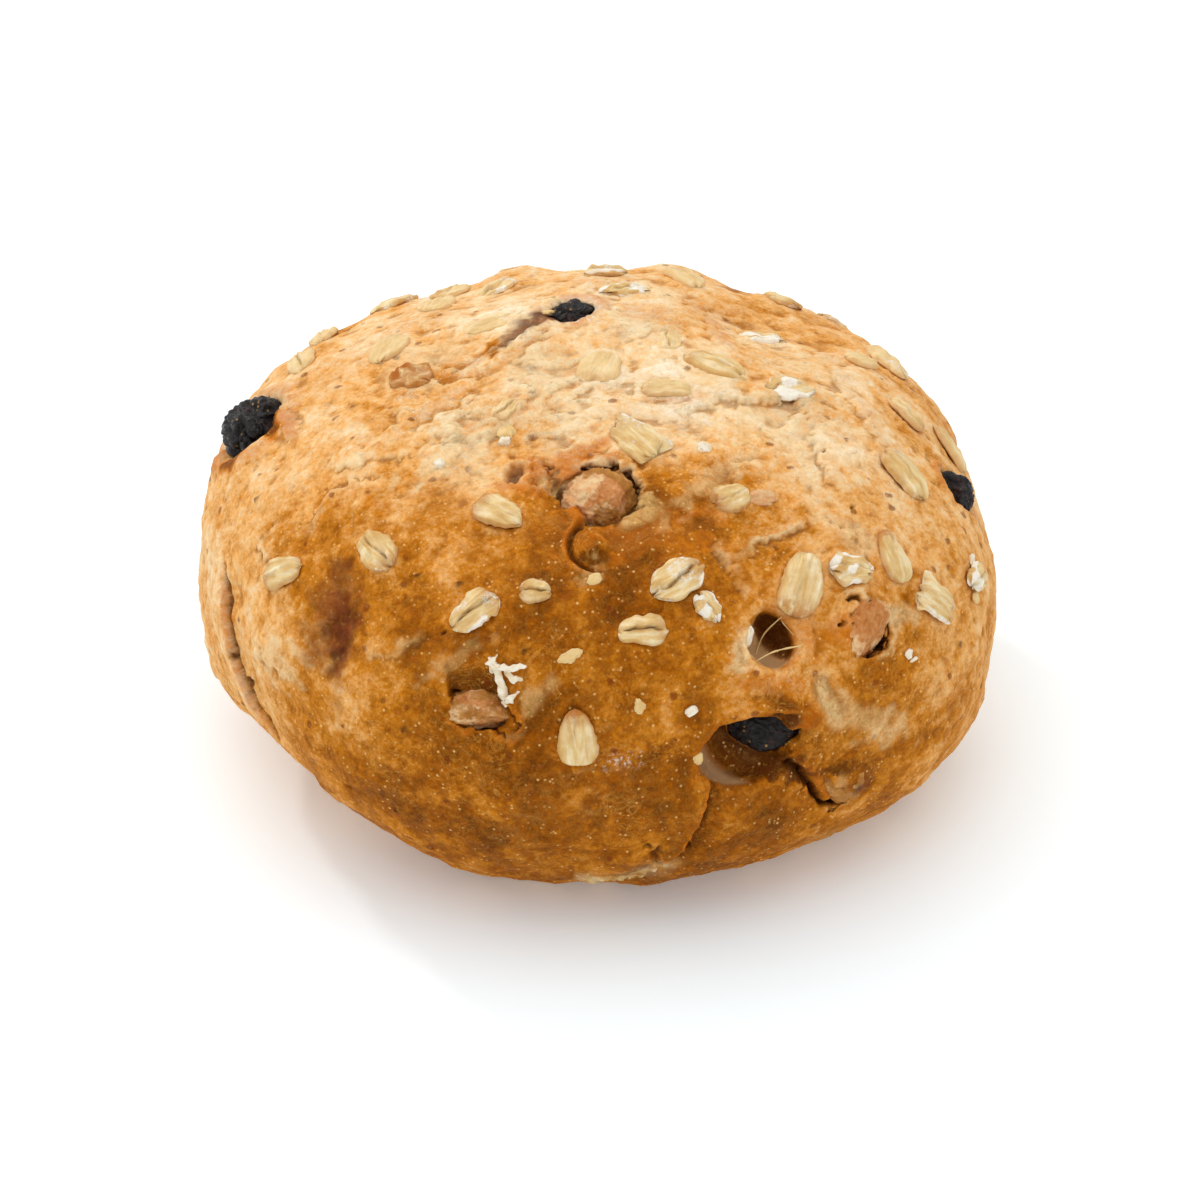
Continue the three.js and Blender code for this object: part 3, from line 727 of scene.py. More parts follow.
for i, (run, high, crack, pale, toasted) in enumerate(SCARPS):
    apart, along, side = beside(skin, run)
    side = side + 0.55 * wander(skin, 2.6, 60 + i) + 0.25 * wander(skin, 1.1, 90 + i)
    fade = soft(0, 0.2, along) * (1 - soft(0.8, 1.0, along)) * (apart < 7)
    fade *= 0.7 + 0.3 * wander(skin, 4, 120 + i)
    push(0.9 * high * fade * soft(0.3, -0.3, side) * bell(side, 4.2))
    line = bell(side - 0.25, 0.24) * fade * (apart < 2.2)
    push(-crack * line)
    paint("gloom", 0.9 * crack * line)
    edge = bell(side + 0.45, 0.5) * fade * (apart < 2.5)
    paint("pale", pale * edge)
    paint("orange", toasted * bell(side + 1.0, 1.1) * fade * (apart < 3.5))

# Small pits, each darkened inside with painted shade.
PITS = [(-64.6, 0.8, 0.7), (-61.2, -2.0, 0.8), (-60.6, -3.4, 0.6), (-24.4, 20.8, 0.4), (-38, -7.8, 0.6)]
PITS += [(64.5, 39.3, 0.4), (55.6, 30.5, 0.4), (172, 12, 0.7), (-140, 22, 0.5), (120, 38, 0.5)]
PITS += [(-100, 4, 0.6)]
for bearing, height, radius in PITS:
    pit = blot((bearing, height), radius, radius * 0.8, ragged=0.1)
    push(-1.3 * radius * pit)
    paint("gloom", pit)
BRAN = [(-74, 21.9, 0.55), (-24.7, 27.8, 0.6), (-32.7, 27.4, 0.45), (-27.6, 6.5, 0.6), (-11.1, 20.1, 0.5)]
BRAN += [(-84, 40, 0.5), (-30, -9, 0.5), (9, 24, 0.3), (60, 6, 0.5), (-150, 15, 0.5), (160, -6, 0.6)]
for bearing, height, radius in BRAN:
    speck = blot((bearing, height), radius, radius * 0.8, 30, ragged=0.2)
    push(0.3 * speck)
    paint("gloom", speck)

# Each rolled oat presses a shallow bed into the dough, which stands up a little round it.
for node in sorted(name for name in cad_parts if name.startswith("oat_flake_")):
    corners = np.array([tuple(v.co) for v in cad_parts[node].data.vertices]) / MM
    middle = corners.mean(axis=0)
    near = np.nonzero(np.linalg.norm(skin - middle, axis=1) < 9)[0]
    ways = np.linalg.svd(corners - middle, full_matrices=False)[2]
    halves = np.abs((corners - middle) @ ways.T).max(axis=0)
    away = (skin[near] - middle) @ ways.T
    far = np.hypot(away[:, 0] / halves[0], away[:, 1] / halves[1])
    bed = 0.22 * bell(far - 1.12, 0.2) * (np.abs(away[:, 2]) < 3)
    skin[near] += outward[near] * bed[:, None]

# ---- how brown each part of the skin baked, with painted light and shade ----
# Pale on the crown and the right, partly where the dough stretched and partly painted light where the most
# light falls; orange-brown on the front, partly its baked colour and partly painted shade.
BAKE_START = 0.40
BAKED_AND_PAINTED_LIGHT = [  # bearing, height, spread in degrees, and how much browner or paler
    (180, 45, 40, -0.20),
    (0, 90, 26, -0.16),
    (85, 48, 26, -0.16),
    (30, 58, 12, -0.10),
    (-44, 57, 13, -0.14),
    (-100, 40, 22, -0.06),
    (-82, 8, 18, -0.10),
    (-62, 32, 14, 0.0),
    (22, 48, 9, 0.10),
    (-2, 52, 8, 0.05),
    (-36, 31, 16, 0.17),
    (-8, 14, 24, 0.27),
    (-25, -16, 24, 0.26),
    (18, -16, 22, 0.30),
    (48, -4, 20, 0.14),
    (4, 35, 15, 0.20),
    (14, 43, 10, 0.16),
    (34, 40, 12, 0.12),
    (20, 28, 10, 0.06),
    (18, 6, 12, 0.08),
    (40, 8, 9, 0.06),
    (72, 10, 16, 0.02),
    (180, 5, 55, 0.16),
]
bake_and_light_level = np.full(len(skin), BAKE_START)
ways = unit(skin - WAIST_MIDDLE)
for bearing, height, spread, amount in BAKED_AND_PAINTED_LIGHT:
    away = np.degrees(np.arccos(np.clip(ways @ towards(bearing, height), -1, 1)))
    bake_and_light_level += amount * bell(away, spread)
bake_and_light_level += 0.05 * wander(skin, 24, 91) + 0.05 * wander(skin, 9, 92)
marks["brown"] = bake_and_light_level
paint("flour", 0.5 * blot((3.5, 5), 2.2, 1.0, 0, 0.8, 26))
paint("flour", 0.8 * blot((-178, 66), 3.0, 1.2, 20, 0.8, 27))
paint("pale", 0.6 * blot((-45, 50), 8, 2.6, 60, 0.6, 28))
paint("pale", 0.45 * blot((-50, 7.5), 4.5, 2.6, 10, 0.9, 29))
paint("pale", 0.4 * blot((33, 46), 9, 2.0, 20, 0.6, 30))
paint("pale", 0.45 * blot((70, 47), 6, 3.4, 110, 0.7, 33))
paint("pale", 0.4 * blot((50, 28), 6, 3.0, 100, 0.7, 34))
paint("orange", 0.45 * blot((8, 38), 9, 3.0, 5, 0.6, 35))

# Painted shade and light follow the skin's own relief: hollows and cracks are darker, crests a little paler.
even_skin = relax(skin, 0.5, 14)
crest = ((skin - even_skin) * outward).sum(axis=1)
marks["crest"] = np.clip(crest / 0.16, -1, 1)

skin[:, 2] = np.maximum(skin[:, 2], 0)
skin[skin[:, 2] < 0.25, 2] = 0
move_points(dough, skin)
for name, amounts in marks.items():
    layer = dough.data.attributes.new(name, "FLOAT", "POINT")
    layer.data.foreach_set("value", amounts.astype(np.float32))
for polygon in dough.data.polygons:
    polygon.use_smooth = True


def linear(code):
    """A colour written as an sRGB hex value, as the linear values that a shader reads."""
    channels = [int(code[i : i + 2], 16) / 255 for i in (1, 3, 5)]
    return [c / 12.92 if c <= 0.04045 else ((c + 0.055) / 1.055) ** 2.4 for c in channels] + [1.0]


def add(kind, links=None, **settings):
    """Adds a node to the material being made. settings are its own values, and links gives each socket a value
    or another node's socket."""
    node = tree.nodes.new(kind)
    for name, value in settings.items():
        setattr(node, name, value)
    for socket, value in (links or {}).items():
        if isinstance(value, bpy.types.NodeSocket):
            tree.links.new(value, node.inputs[socket])
        else:
            node.inputs[socket].default_value = value
    return node


def new_material(name):
    material = bpy.data.materials.new(name)
    material.use_nodes = True
    material.node_tree.nodes.clear()
    return material, material.node_tree


def place_in_mm():
    """Object coordinates in mm."""
    mapping = add("ShaderNodeMapping", {"Scale": (1000, 1000, 1000)})
    tree.links.new(add("ShaderNodeTexCoord").outputs["Object"], mapping.inputs["Vector"])
    return mapping.outputs["Vector"]


def mark_of(name):
    """The amount stored under name at each point."""
    return add("ShaderNodeAttribute", attribute_name=name).outputs["Fac"]


def math_node(kind, a, b=0.0):
    return add("ShaderNodeMath", {0: a, 1: b}, operation=kind).outputs[0]


def times(a, b):
    return math_node("MULTIPLY", a, b)


def plus(a, b):
    return math_node("ADD", a, b)


def minus(a, b):
    return math_node("SUBTRACT", a, b)


def ridge_of(value):
    """How far value is from 0.5."""
    return math_node("ABSOLUTE", minus(value, 0.5))


def cells(place, size, channel):
    """Grains size mm apart: how far each point is from its grain's middle, and each grain's chance number."""
    grains = add("ShaderNodeTexVoronoi", {"Vector": place, "Scale": 1 / size}, feature="F1")
    chance = add("ShaderNodeSeparateColor", {"Color": grains.outputs["Color"]}).outputs[channel]
    return grains.outputs["Distance"], chance


def bump(height, strength, distance):
    look = {"Height": height, "Strength": strength, "Distance": distance}
    return add("ShaderNodeBump", look).outputs["Normal"]


def surface(settings):
    """Gives the material being made its shader."""
    shader = add("ShaderNodeBsdfPrincipled", settings)
    tree.links.new(shader.outputs["BSDF"], add("ShaderNodeOutputMaterial").inputs["Surface"])


# Baked wheat crust: a thin, dry skin that the oven browned unevenly. It gives a soft sheen over mottled gold
# and brown, with specks of bran, tiny blisters painted with golden glints and pale veins where it stretched.
crust_look, tree = new_material("baked_wheat_crust")
place = place_in_mm()
mark = {name: mark_of(name) for name in marks}


def noise(place, period, detail=3, roughness=0.55, distortion=0.0):
    """Noise whose lumps are about period mm apart."""
    look = {"Vector": place, "Scale": 1 / period, "Detail": detail, "Roughness": roughness}
    return add("ShaderNodeTexNoise", look | {"Distortion": distortion}).outputs["Fac"]


def between(value, low, high, to_low=0.0, to_high=1.0):
    """value's stretch from low to high, spread softly over to_low to to_high."""
    ends = {"Value": value, "From Min": low, "From Max": high, "To Min": to_low, "To Max": to_high}
    return add("ShaderNodeMapRange", ends, interpolation_type="SMOOTHSTEP").outputs["Result"]


def cover(amount, under, over, most=1.0):
    """over laid on under, both colours, by amount of most."""
    mix = add("ShaderNodeMix", data_type="RGBA")
    amount = times(amount, most) if most != 1 else amount
    over = linear(over) if isinstance(over, str) else over
    for socket, value in ((0, amount), (6, under), (7, over)):
        if isinstance(value, bpy.types.NodeSocket):
            tree.links.new(value, mix.inputs[socket])
        else:
            mix.inputs[socket].default_value = value
    return mix.outputs[2]


def ramp(value, stops):
    """Colours along value, given as (position, sRGB hex) pairs."""
    node = add("ShaderNodeValToRGB", {"Fac": value})
    while len(node.color_ramp.elements) < len(stops):
        node.color_ramp.elements.new(0.5)
    for element, (position, code) in zip(node.color_ramp.elements, stops):
        element.position = position
        element.color = linear(code)
    return node.outputs["Color"]


brown = mark["brown"]
for period, detail, roughness, distortion, amount in (
    (8, 6, 0.6, 0.6, 0.09),
    (1.4, 4, 0.65, 0.0, 0.07),
    (0.5, 3, 0.7, 0.0, 0.05),
):
    mottle = noise(place, period, detail, roughness, distortion)
    brown = plus(brown, between(mottle, 0.3, 0.7, -amount, amount))
# browner where the crust burnt, and as painted shade on a fold's lower side
brown = plus(brown, between(mark["bake"], 0, 1, 0, 0.42))
# crests a little paler as painted light, hollows a little browner as painted shade
brown = plus(brown, times(mark["crest"], -0.07))
BROWNING = [(0.0, "#fbe9cb"), (0.18, "#f5d2a0"), (0.36, "#ecac60"), (0.53, "#c97b16")]
crust_colour = ramp(brown, BROWNING + [(0.7, "#995200"), (0.87, "#6e3900")])
# freckles, where bran and sugar caught
freckles = between(noise(place, 1.9, 4, 0.6, 0.3), 0.6, 0.74)
crust_colour = cover(freckles, crust_colour, "#a3501a", 0.45)
crust_colour = cover(mark["orange"], crust_colour, "#cb6c12", 0.75)
# near-black brown where the crust burnt, and inside the bubble as painted shade
burnt_and_shaded = between(mark["bake"], 0.55, 1.0, 0, 0.75)
crust_colour = cover(burnt_and_shaded, crust_colour, "#5a2a0a")
# painted shade in the hollows of the skin
hollow_shade = between(mark["crest"], -0.15, -1.0, 0, 0.45)
crust_colour = cover(hollow_shade, crust_colour, "#8a4a08")
# bran specks, in one cell out of five
jitter = add("ShaderNodeTexNoise", {"Vector": place, "Scale": 0.8, "Detail": 2}).outputs["Color"]
ragged_place = add("ShaderNodeVectorMath", {0: jitter, 1: place}, operation="ADD").outputs[0]
bran_far, bran_pick = cells(ragged_place, 2.6, 0)
bran = times(between(bran_far, 0.26, 0.14), between(bran_pick, 0.79, 0.81))
crust_colour = cover(bran, crust_colour, "#743008", 0.7)
# thin layers of dried skin: each ends in a ragged paler edge
dried = ramp(brown, [(0.3, "#f7e3ba"), (0.62, "#e2a446")])
layered = times(noise(place, 11, 9, 0.66, 0.5), 11)
layer_place = math_node("FRACT", layered)
ledge = times(between(layer_place, 0.22, 0.02), mark["dry"])
crust_colour = cover(ledge, crust_colour, dried, 0.55)
# painted shade: a darker orange-brown band at the foot of each layer's step
under_ledge_shade = times(between(layer_place, 0.86, 0.99), mark["dry"])
crust_colour = cover(under_ledge_shade, crust_colour, "#a8631f", 0.4)
# pale veins, where the skin stretched thin
veins = between(ridge_of(noise(place, 3.4, 5, 0.6, 1.2)), 0.022, 0.0)
vein_fade = between(noise(place, 11, 2), 0.45, 0.62)
crust_colour = cover(times(veins, vein_fade), crust_colour, dried, 0.35)
# tiny blisters, the size of a grain of semolina: golden specks, partly painted highlights for their glints
blister_far, blister_pick = cells(place, 0.72, 1)
blisters_and_glints = times(between(blister_far, 0.36, 0.08), between(blister_pick, 0.55, 1.0))
crust_colour = cover(blisters_and_glints, crust_colour, "#f5c377", 0.85)
wrinkles = between(ridge_of(noise(place, 1.7, 5, 0.65, 1.0)), 0.035, 0.0)
crust_colour = cover(wrinkles, crust_colour, dried, 0.16)
streaky = between(noise(place, 1.0, 4, 0.7, 0.8), 0.35, 0.6, 0.45, 1.0)
stretched_thin = ramp(brown, [(0.4, "#f3dfb2"), (0.75, "#e6bd74")])
crust_colour = cover(times(mark["pale"], streaky), crust_colour, stretched_thin)
crumb_colour = ramp(noise(place, 1.6, 4), [(0.3, "#b07a38"), (0.5, "#dcb77a"), (0.7, "#f3e0b8")])
crust_colour = cover(mark["crumb"], crust_colour, crumb_colour)
# gluten film, smooth and greyish where the dough stretched into a hollow; painted light on the bubble's lit
# wall
crust_colour = cover(mark["film"], crust_colour, "#b8936a", 0.85)
stain_colour = ramp(noise(place, 2.2, 4), [(0.35, "#42190f"), (0.65, "#7c3a20")])
soaked = times(mark["stain"], between(noise(place, 1.3, 4, 0.65), 0.25, 0.55, 0.65, 1.0))
crust_colour = cover(soaked, crust_colour, stain_colour, 0.9)
# painted shade, near black, in cracks, slits, pits, sockets and hollows, and the crust's own dark bran specks
crust_colour = cover(mark["gloom"], crust_colour, "#3a1a08", 0.85)
dusting = times(mark["flour"], between(noise(place, 0.55, 3, 0.7), 0.48, 0.6))
crust_colour = cover(dusting, crust_colour, "#f7efe2")

relief = times(noise(place, 1.3, 6, 0.66, 0.5), 0.62)
stacked = times(minus(1.0, layer_place), mark["dry"])
for part, share in ((blisters_and_glints, 0.12), (wrinkles, 0.06), (stacked, 0.26)):
    relief = plus(relief, times(part, share))
relief = times(relief, minus(1.0, times(mark["film"], 0.85)))
bumps = bump(relief, 0.75, 0.0007)
gloss = between(noise(place, 5, 3), 0.3, 0.7, 0.55, 0.75)
gloss = plus(gloss, times(mark["flour"], 0.3))
surface(
    {
        "Base Color": crust_colour,
        "Roughness": gloss,
        "Normal": bumps,
        "IOR": 1.45,
        "Specular IOR Level": 0.05,
        "Coat Weight": 0.04,
        "Coat Roughness": 0.38,
        "Coat IOR": 1.4,
        "Subsurface Weight": 0.1,
        "Subsurface Radius": (1.0, 0.5, 0.25),
        "Subsurface Scale": 0.0012,
    }
)
dough.data.materials.append(crust_look)
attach(dough, "root")
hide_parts("crust")

# ---- Raisins ----
# Dried grapes: a soft, nearly black skin shrunk into deep folds over a sticky inside. The dough they were
# kneaded into holds them.


def keep_amounts(piece, amounts):
    """Stores named amounts per point for the piece's material."""
    for name, values in amounts.items():
        layer = piece.data.attributes.new(name, "FLOAT", "POINT")
        layer.data.foreach_set("value", values.astype(np.float32))


def finish_piece(piece, look, node=None):
    pick(piece)
    bpy.ops.object.shade_smooth()
    piece.data.materials.append(look)
    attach(piece, "root")
    if node:
        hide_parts(node)


# Dried grape skin: almost black, with reddish edges, a dull gloss and a few grains of sugar that the oven
# drew out. The golden sugar specks also stand in for the skin's glints, as painted highlights.
raisin_look, tree = new_material("dried_grape_skin")
place = place_in_mm()
raisin_colour = ramp(noise(place, 2.2, 4), [(0.35, "#080404"), (0.58, "#170b0a"), (0.75, "#42211a")])
grain_far, grain_pick = cells(place, 0.7, 0)
sugar_and_glints = times(between(grain_far, 0.34, 0.1), between(grain_pick, 0.86, 0.9))
raisin_colour = cover(sugar_and_glints, raisin_colour, "#c9964f", 0.75)
bumps = bump(noise(place, 0.8, 5, 0.65, 0.8), 0.8, 0.0006)
surface(
    {
        "Base Color": raisin_colour,
        "Roughness": between(noise(place, 1.5, 2), 0.3, 0.7, 0.25, 0.55),
        "Normal": bumps,
        "IOR": 1.45,
        "Specular IOR Level": 0.4,
    }
)

for i, node in enumerate(node for node in SITS if node.startswith("raisin")):
    middle, halves, ways = axes_of(node)
    spread, sunk = SITS[node]
    bpy.ops.object.select_all(action="DESELECT")
    bpy.ops.mesh.primitive_ico_sphere_add(subdivisions=6, radius=MM)
    raisin = bpy.context.object
    raisin.name = node + "_skin"
    ball = points_of(raisin)
    stretch = ball * (0.7, 1.0, 1.0)
    stretch = stretch + 0.12 * np.stack([wander(ball, 0.8, 290 + i + axis) for axis in range(3)], axis=1)
    folds = 1 - np.abs(wander(stretch, 1.2, 200 + i))
    wrinkled = 1 - np.abs(wander(stretch, 0.5, 230 + i))
    crinkled = 1 - np.abs(wander(stretch, 0.24, 240 + i))
    creases = 0.14 * soft(0.5, 1.0, folds) + 0.06 * soft(0.5, 1.0, wrinkled) + 0.03 * soft(0.4, 1.0, crinkled)
    size = 1.03 - creases + 0.07 * wander(ball, 2.4, 260 + i) + 0.014 * wander(ball, 0.16, 280 + i)
    middle = middle - sunk * unit(middle - WAIST_MIDDLE)
    move_points(raisin, middle + (ball * size[:, None] * halves * spread) @ ways)
    finish_piece(raisin, raisin_look, node)

# ---- Hazelnuts ----
# Roasted nuts and pieces of nut: cream flesh under a thin tan skin that has partly rubbed off. Baked dough
# holds them, and clings to the ones that only just show.

# How much dough clings to each, how dark its skin roasted, how many faces it broke into, and how blocky it
# is.
HAZELNUTS = {
    "hazelnut_centre": (0.2, 0.2, 5, 2.2),
    "hazelnut_right": (0.1, 0.6, 4, 3.4),
    "hazelnut_left": (0.75, 0.35, 9, 5.0),
    "hazelnut_low": (1.6, 0.5, 5, 3.2),
    "hazelnut_back": (0.3, 0.3, 4, 2.2),
}

# Roasted hazelnut: matt peach and cream flesh, with flakes of tan skin and films of baked dough left on it.
nut_look, tree = new_material("roasted_hazelnut")
place = place_in_mm()
nut_mark = {name: mark_of(name) for name in ("nut_skin", "roasted", "clinging", "stain")}
flesh = ramp(noise(place, 1.2, 4), [(0.3, "#e8a468"), (0.7, "#f9d8a4")])
husk = ramp(noise(place, 0.9, 5, 0.6, 0.6), [(0.3, "#bd7238"), (0.5, "#e0985c"), (0.75, "#f0bf8c")])
husk = cover(nut_mark["roasted"], husk, "#bd7226", 0.7)
patches = between(plus(nut_mark["nut_skin"], noise(place, 2.6, 6, 0.66)), 0.95, 1.06)
nut_colour = cover(patches, flesh, husk)
dough_film = ramp(noise(place, 1.8, 4), [(0.3, "#a9682a"), (0.55, "#c4873f"), (0.75, "#dcb074")])
clings = between(plus(nut_mark["clinging"], noise(place, 1.5, 5, 0.65)), 0.9, 1.05)
nut_colour = cover(clings, nut_colour, dough_film)
nut_colour = cover(nut_mark["stain"], nut_colour, "#4a2420", 0.85)
grit = plus(noise(place, 0.9, 7, 0.72), times(clings, 0.3))
bumps = bump(grit, 0.8, 0.0007)
surface({"Base Color": nut_colour, "Roughness": 0.55, "Normal": bumps,
         "IOR": 1.46, "Specular IOR Level": 0.15})


def break_faces(ball, count, seed):
    """Knocks count flat faces off a ball of points."""
    chance = np.random.default_rng(seed)
    for way in unit(chance.normal(size=(count, 3))):
        ball = ball - 0.9 * np.maximum(ball @ way - 0.84, 0)[:, None] * way
    return ball


for i, (node, (clinging, roasted, faces, blocky)) in enumerate(HAZELNUTS.items()):
    middle, halves, ways = axes_of(node)
    spread, sunk = SITS[node]
    middle = middle - sunk * unit(middle - WAIST_MIDDLE)
    bpy.ops.object.select_all(action="DESELECT")
    bpy.ops.mesh.primitive_ico_sphere_add(subdivisions=6, radius=MM)
    nut = bpy.context.object
    nut.name = node + "_flesh"
    ball = points_of(nut)
    block = ball / (np.abs(ball) ** blocky).sum(axis=1)[:, None] ** (1 / blocky)
    block = break_faces(block, faces, 700 + i)
    lumps = 0.05 * wander(ball, 1.3, 300 + i) + 0.035 * wander(ball, 0.45, 320 + i)
    lumps += 0.02 * wander(ball, 0.18, 330 + i)
    flaky = wander(ball, 0.9, 350 + i) + 0.5 * wander(ball, 0.35, 360 + i)
    lumps += 0.06 * (soft(-0.1, 0.1, flaky) + soft(0.9, 1.05, flaky)) - 0.05  # skin come off in flakes
    placed = middle + (block * (1 + lumps)[:, None] * halves * spread) @ ways
    out = unit(middle - WAIST_MIDDLE)
    level = unit(np.cross([0, 0, 1], out))
    u, v = (placed - middle) @ level, (placed - middle) @ np.cross(out, level)
    move_points(nut, placed)
    film = 0 * u
    if node == "hazelnut_centre":
        film = 0.7 * bell(u - 1.0, 2.2) * bell(v + 2.6, 2.2)
        film = film + 0.5 * soft(2.6, 3.8, np.hypot(u, v)) * soft(-2, 2, u + v)
    keep_amounts(
        nut,
        {
            "nut_skin": 0.45 + 0.4 * roasted + 0.35 * wander(ball, 1.6, 340 + i),
            "roasted": 0 * u + roasted,
            "clinging": clinging * 0.6 + 0.1 * wander(ball, 1, 5) + film,
            "stain": bell(u - 0.9, 1.3) * bell(v + 0.9, 1.0) if node == "hazelnut_low" else 0 * u,
        },
    )
    finish_piece(nut, nut_look, node)

# ---- Rolled oats ----
# Oat kernels steamed and rolled flat: two soft lobes with a crease between them and a thin rim. They stuck to
# the wet dough before baking, so their undersides lie a little in the crust.

OAT_FLAKES = sorted(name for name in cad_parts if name.startswith("oat_flake_"))
OAT_RISE = 0.95  # mm that the lobes of a flake stand above its rim
CRUST_CURVE = 46  # mm, radius that the flakes bend to where they lie

# Each kind: waver of the outline, fray of the ends, depth of the crease, how far one lobe laps over the
# other, taper towards one end, curl of the rim, squareness of the ends, toasted end and flour.
OAT_KINDS = {
    "whole": (0.08, 0.05, 0.5, 0.25, 0.10, 0.3, 2.9, 0.6, 0.2),
    "split": (0.10, 0.10, 0.9, 0.4, 0.12, 0.5, 2.6, 0.5, 0.4),
    "curled": (0.11, 0.12, 0.6, 0.5, 0.08, 1.1, 2.6, 0.5, 0.6),
    "seed": (0.06, 0.02, 0.14, 0.1, 0.34, 0.15, 2.4, 1.0, 0.1),
    "broken": (0.10, 0.2, 0.0, 0.0, -0.15, 1.1, 8.0, 0.3, 0.5),
    "floury": (0.16, 0.22, 0.25, 0.2, 0.05, 0.5, 3.0, 0.2, 0.85),
    "plain": (0.09, 0.08, 0.14, 0.1, 0.14, 0.25, 3.0, 0.8, 0.2),
    "lump": (0.22, 0.12, 0.0, 0.0, 0.0, 0.2, 2.4, 1.8, 0.0),
}
# Flakes whose kind can be told apart. The others take turns.
OAT_KIND_OF = {
    9: "lump", 10: "plain", 12: "split", 15: "floury", 16: "floury", 17: "broken", 19: "floury", 22: "split",
    27: "seed", 28: "broken", 29: "floury", 30: "plain", 31: "plain", 32: "curled", 33: "floury", 34: "split",
    35: "plain", 36: "floury", 37: "seed", 38: "plain", 39: "split", 40: "curled", 41: "split",
}  # fmt: skip
OAT_TURNS = ["whole", "plain", "split", "seed", "whole", "curled"]
FLIPPED = [27, 30, 37, 38]  # flakes whose toasted or frayed end lies the other way
SUNK_MORE = {44: 1.3, 6: 0.4}  # mm deeper than the others

# Rolled oat: a matt cream lobe with fine lengthwise fibres, a brown crease, a toasted end and white flour.
oat_look, tree = new_material("rolled_oat")
place = place_in_mm()
oat_mark = {name: mark_of(name) for name in ("furrow", "toast", "flour", "baked_in", "edge")}
grain = add("ShaderNodeAttribute", attribute_name="grain").outputs["Vector"]
oat_colour = ramp(noise(grain, 1.8, 4, 0.55, 0.4), [(0.28, "#cfa05a"), (0.5, "#e8ca90"), (0.72, "#f8e8c4")])
shaded_side = between(noise(place, 3.0, 4, 0.6), 0.42, 0.62)
oat_colour = cover(shaded_side, oat_colour, "#c9994f", 0.4)
browned = times(oat_mark["toast"], between(noise(place, 1.2, 4, 0.65), 0.28, 0.55))
oat_colour = cover(browned, oat_colour, "#b56a22", 0.9)
oat_colour = cover(oat_mark["furrow"], oat_colour, "#744515", 0.85)
# a darker rim, partly the flake's thin edge and partly painted shade
oat_colour = cover(oat_mark["edge"], oat_colour, "#bb7f36", 0.6)
oat_colour = cover(oat_mark["baked_in"], oat_colour, "#efcf98", 0.55)
powder = between(plus(oat_mark["flour"], noise(place, 0.6, 4, 0.7)), 1.0, 1.3)
oat_colour = cover(powder, oat_colour, "#f5ecdb")
grit = plus(noise(grain, 0.8, 5, 0.65), times(powder, 0.35))
bumps = bump(grit, 0.6, 0.0005)
surface(
    {
        "Base Color": oat_colour,
        "Roughness": 0.55,
        "Normal": bumps,
        "IOR": 1.45,
        "Specular IOR Level": 0.18,
        "Subsurface Weight": 0.12,
        "Subsurface Radius": (1.0, 0.6, 0.3),
        "Subsurface Scale": 0.001,
    }
)

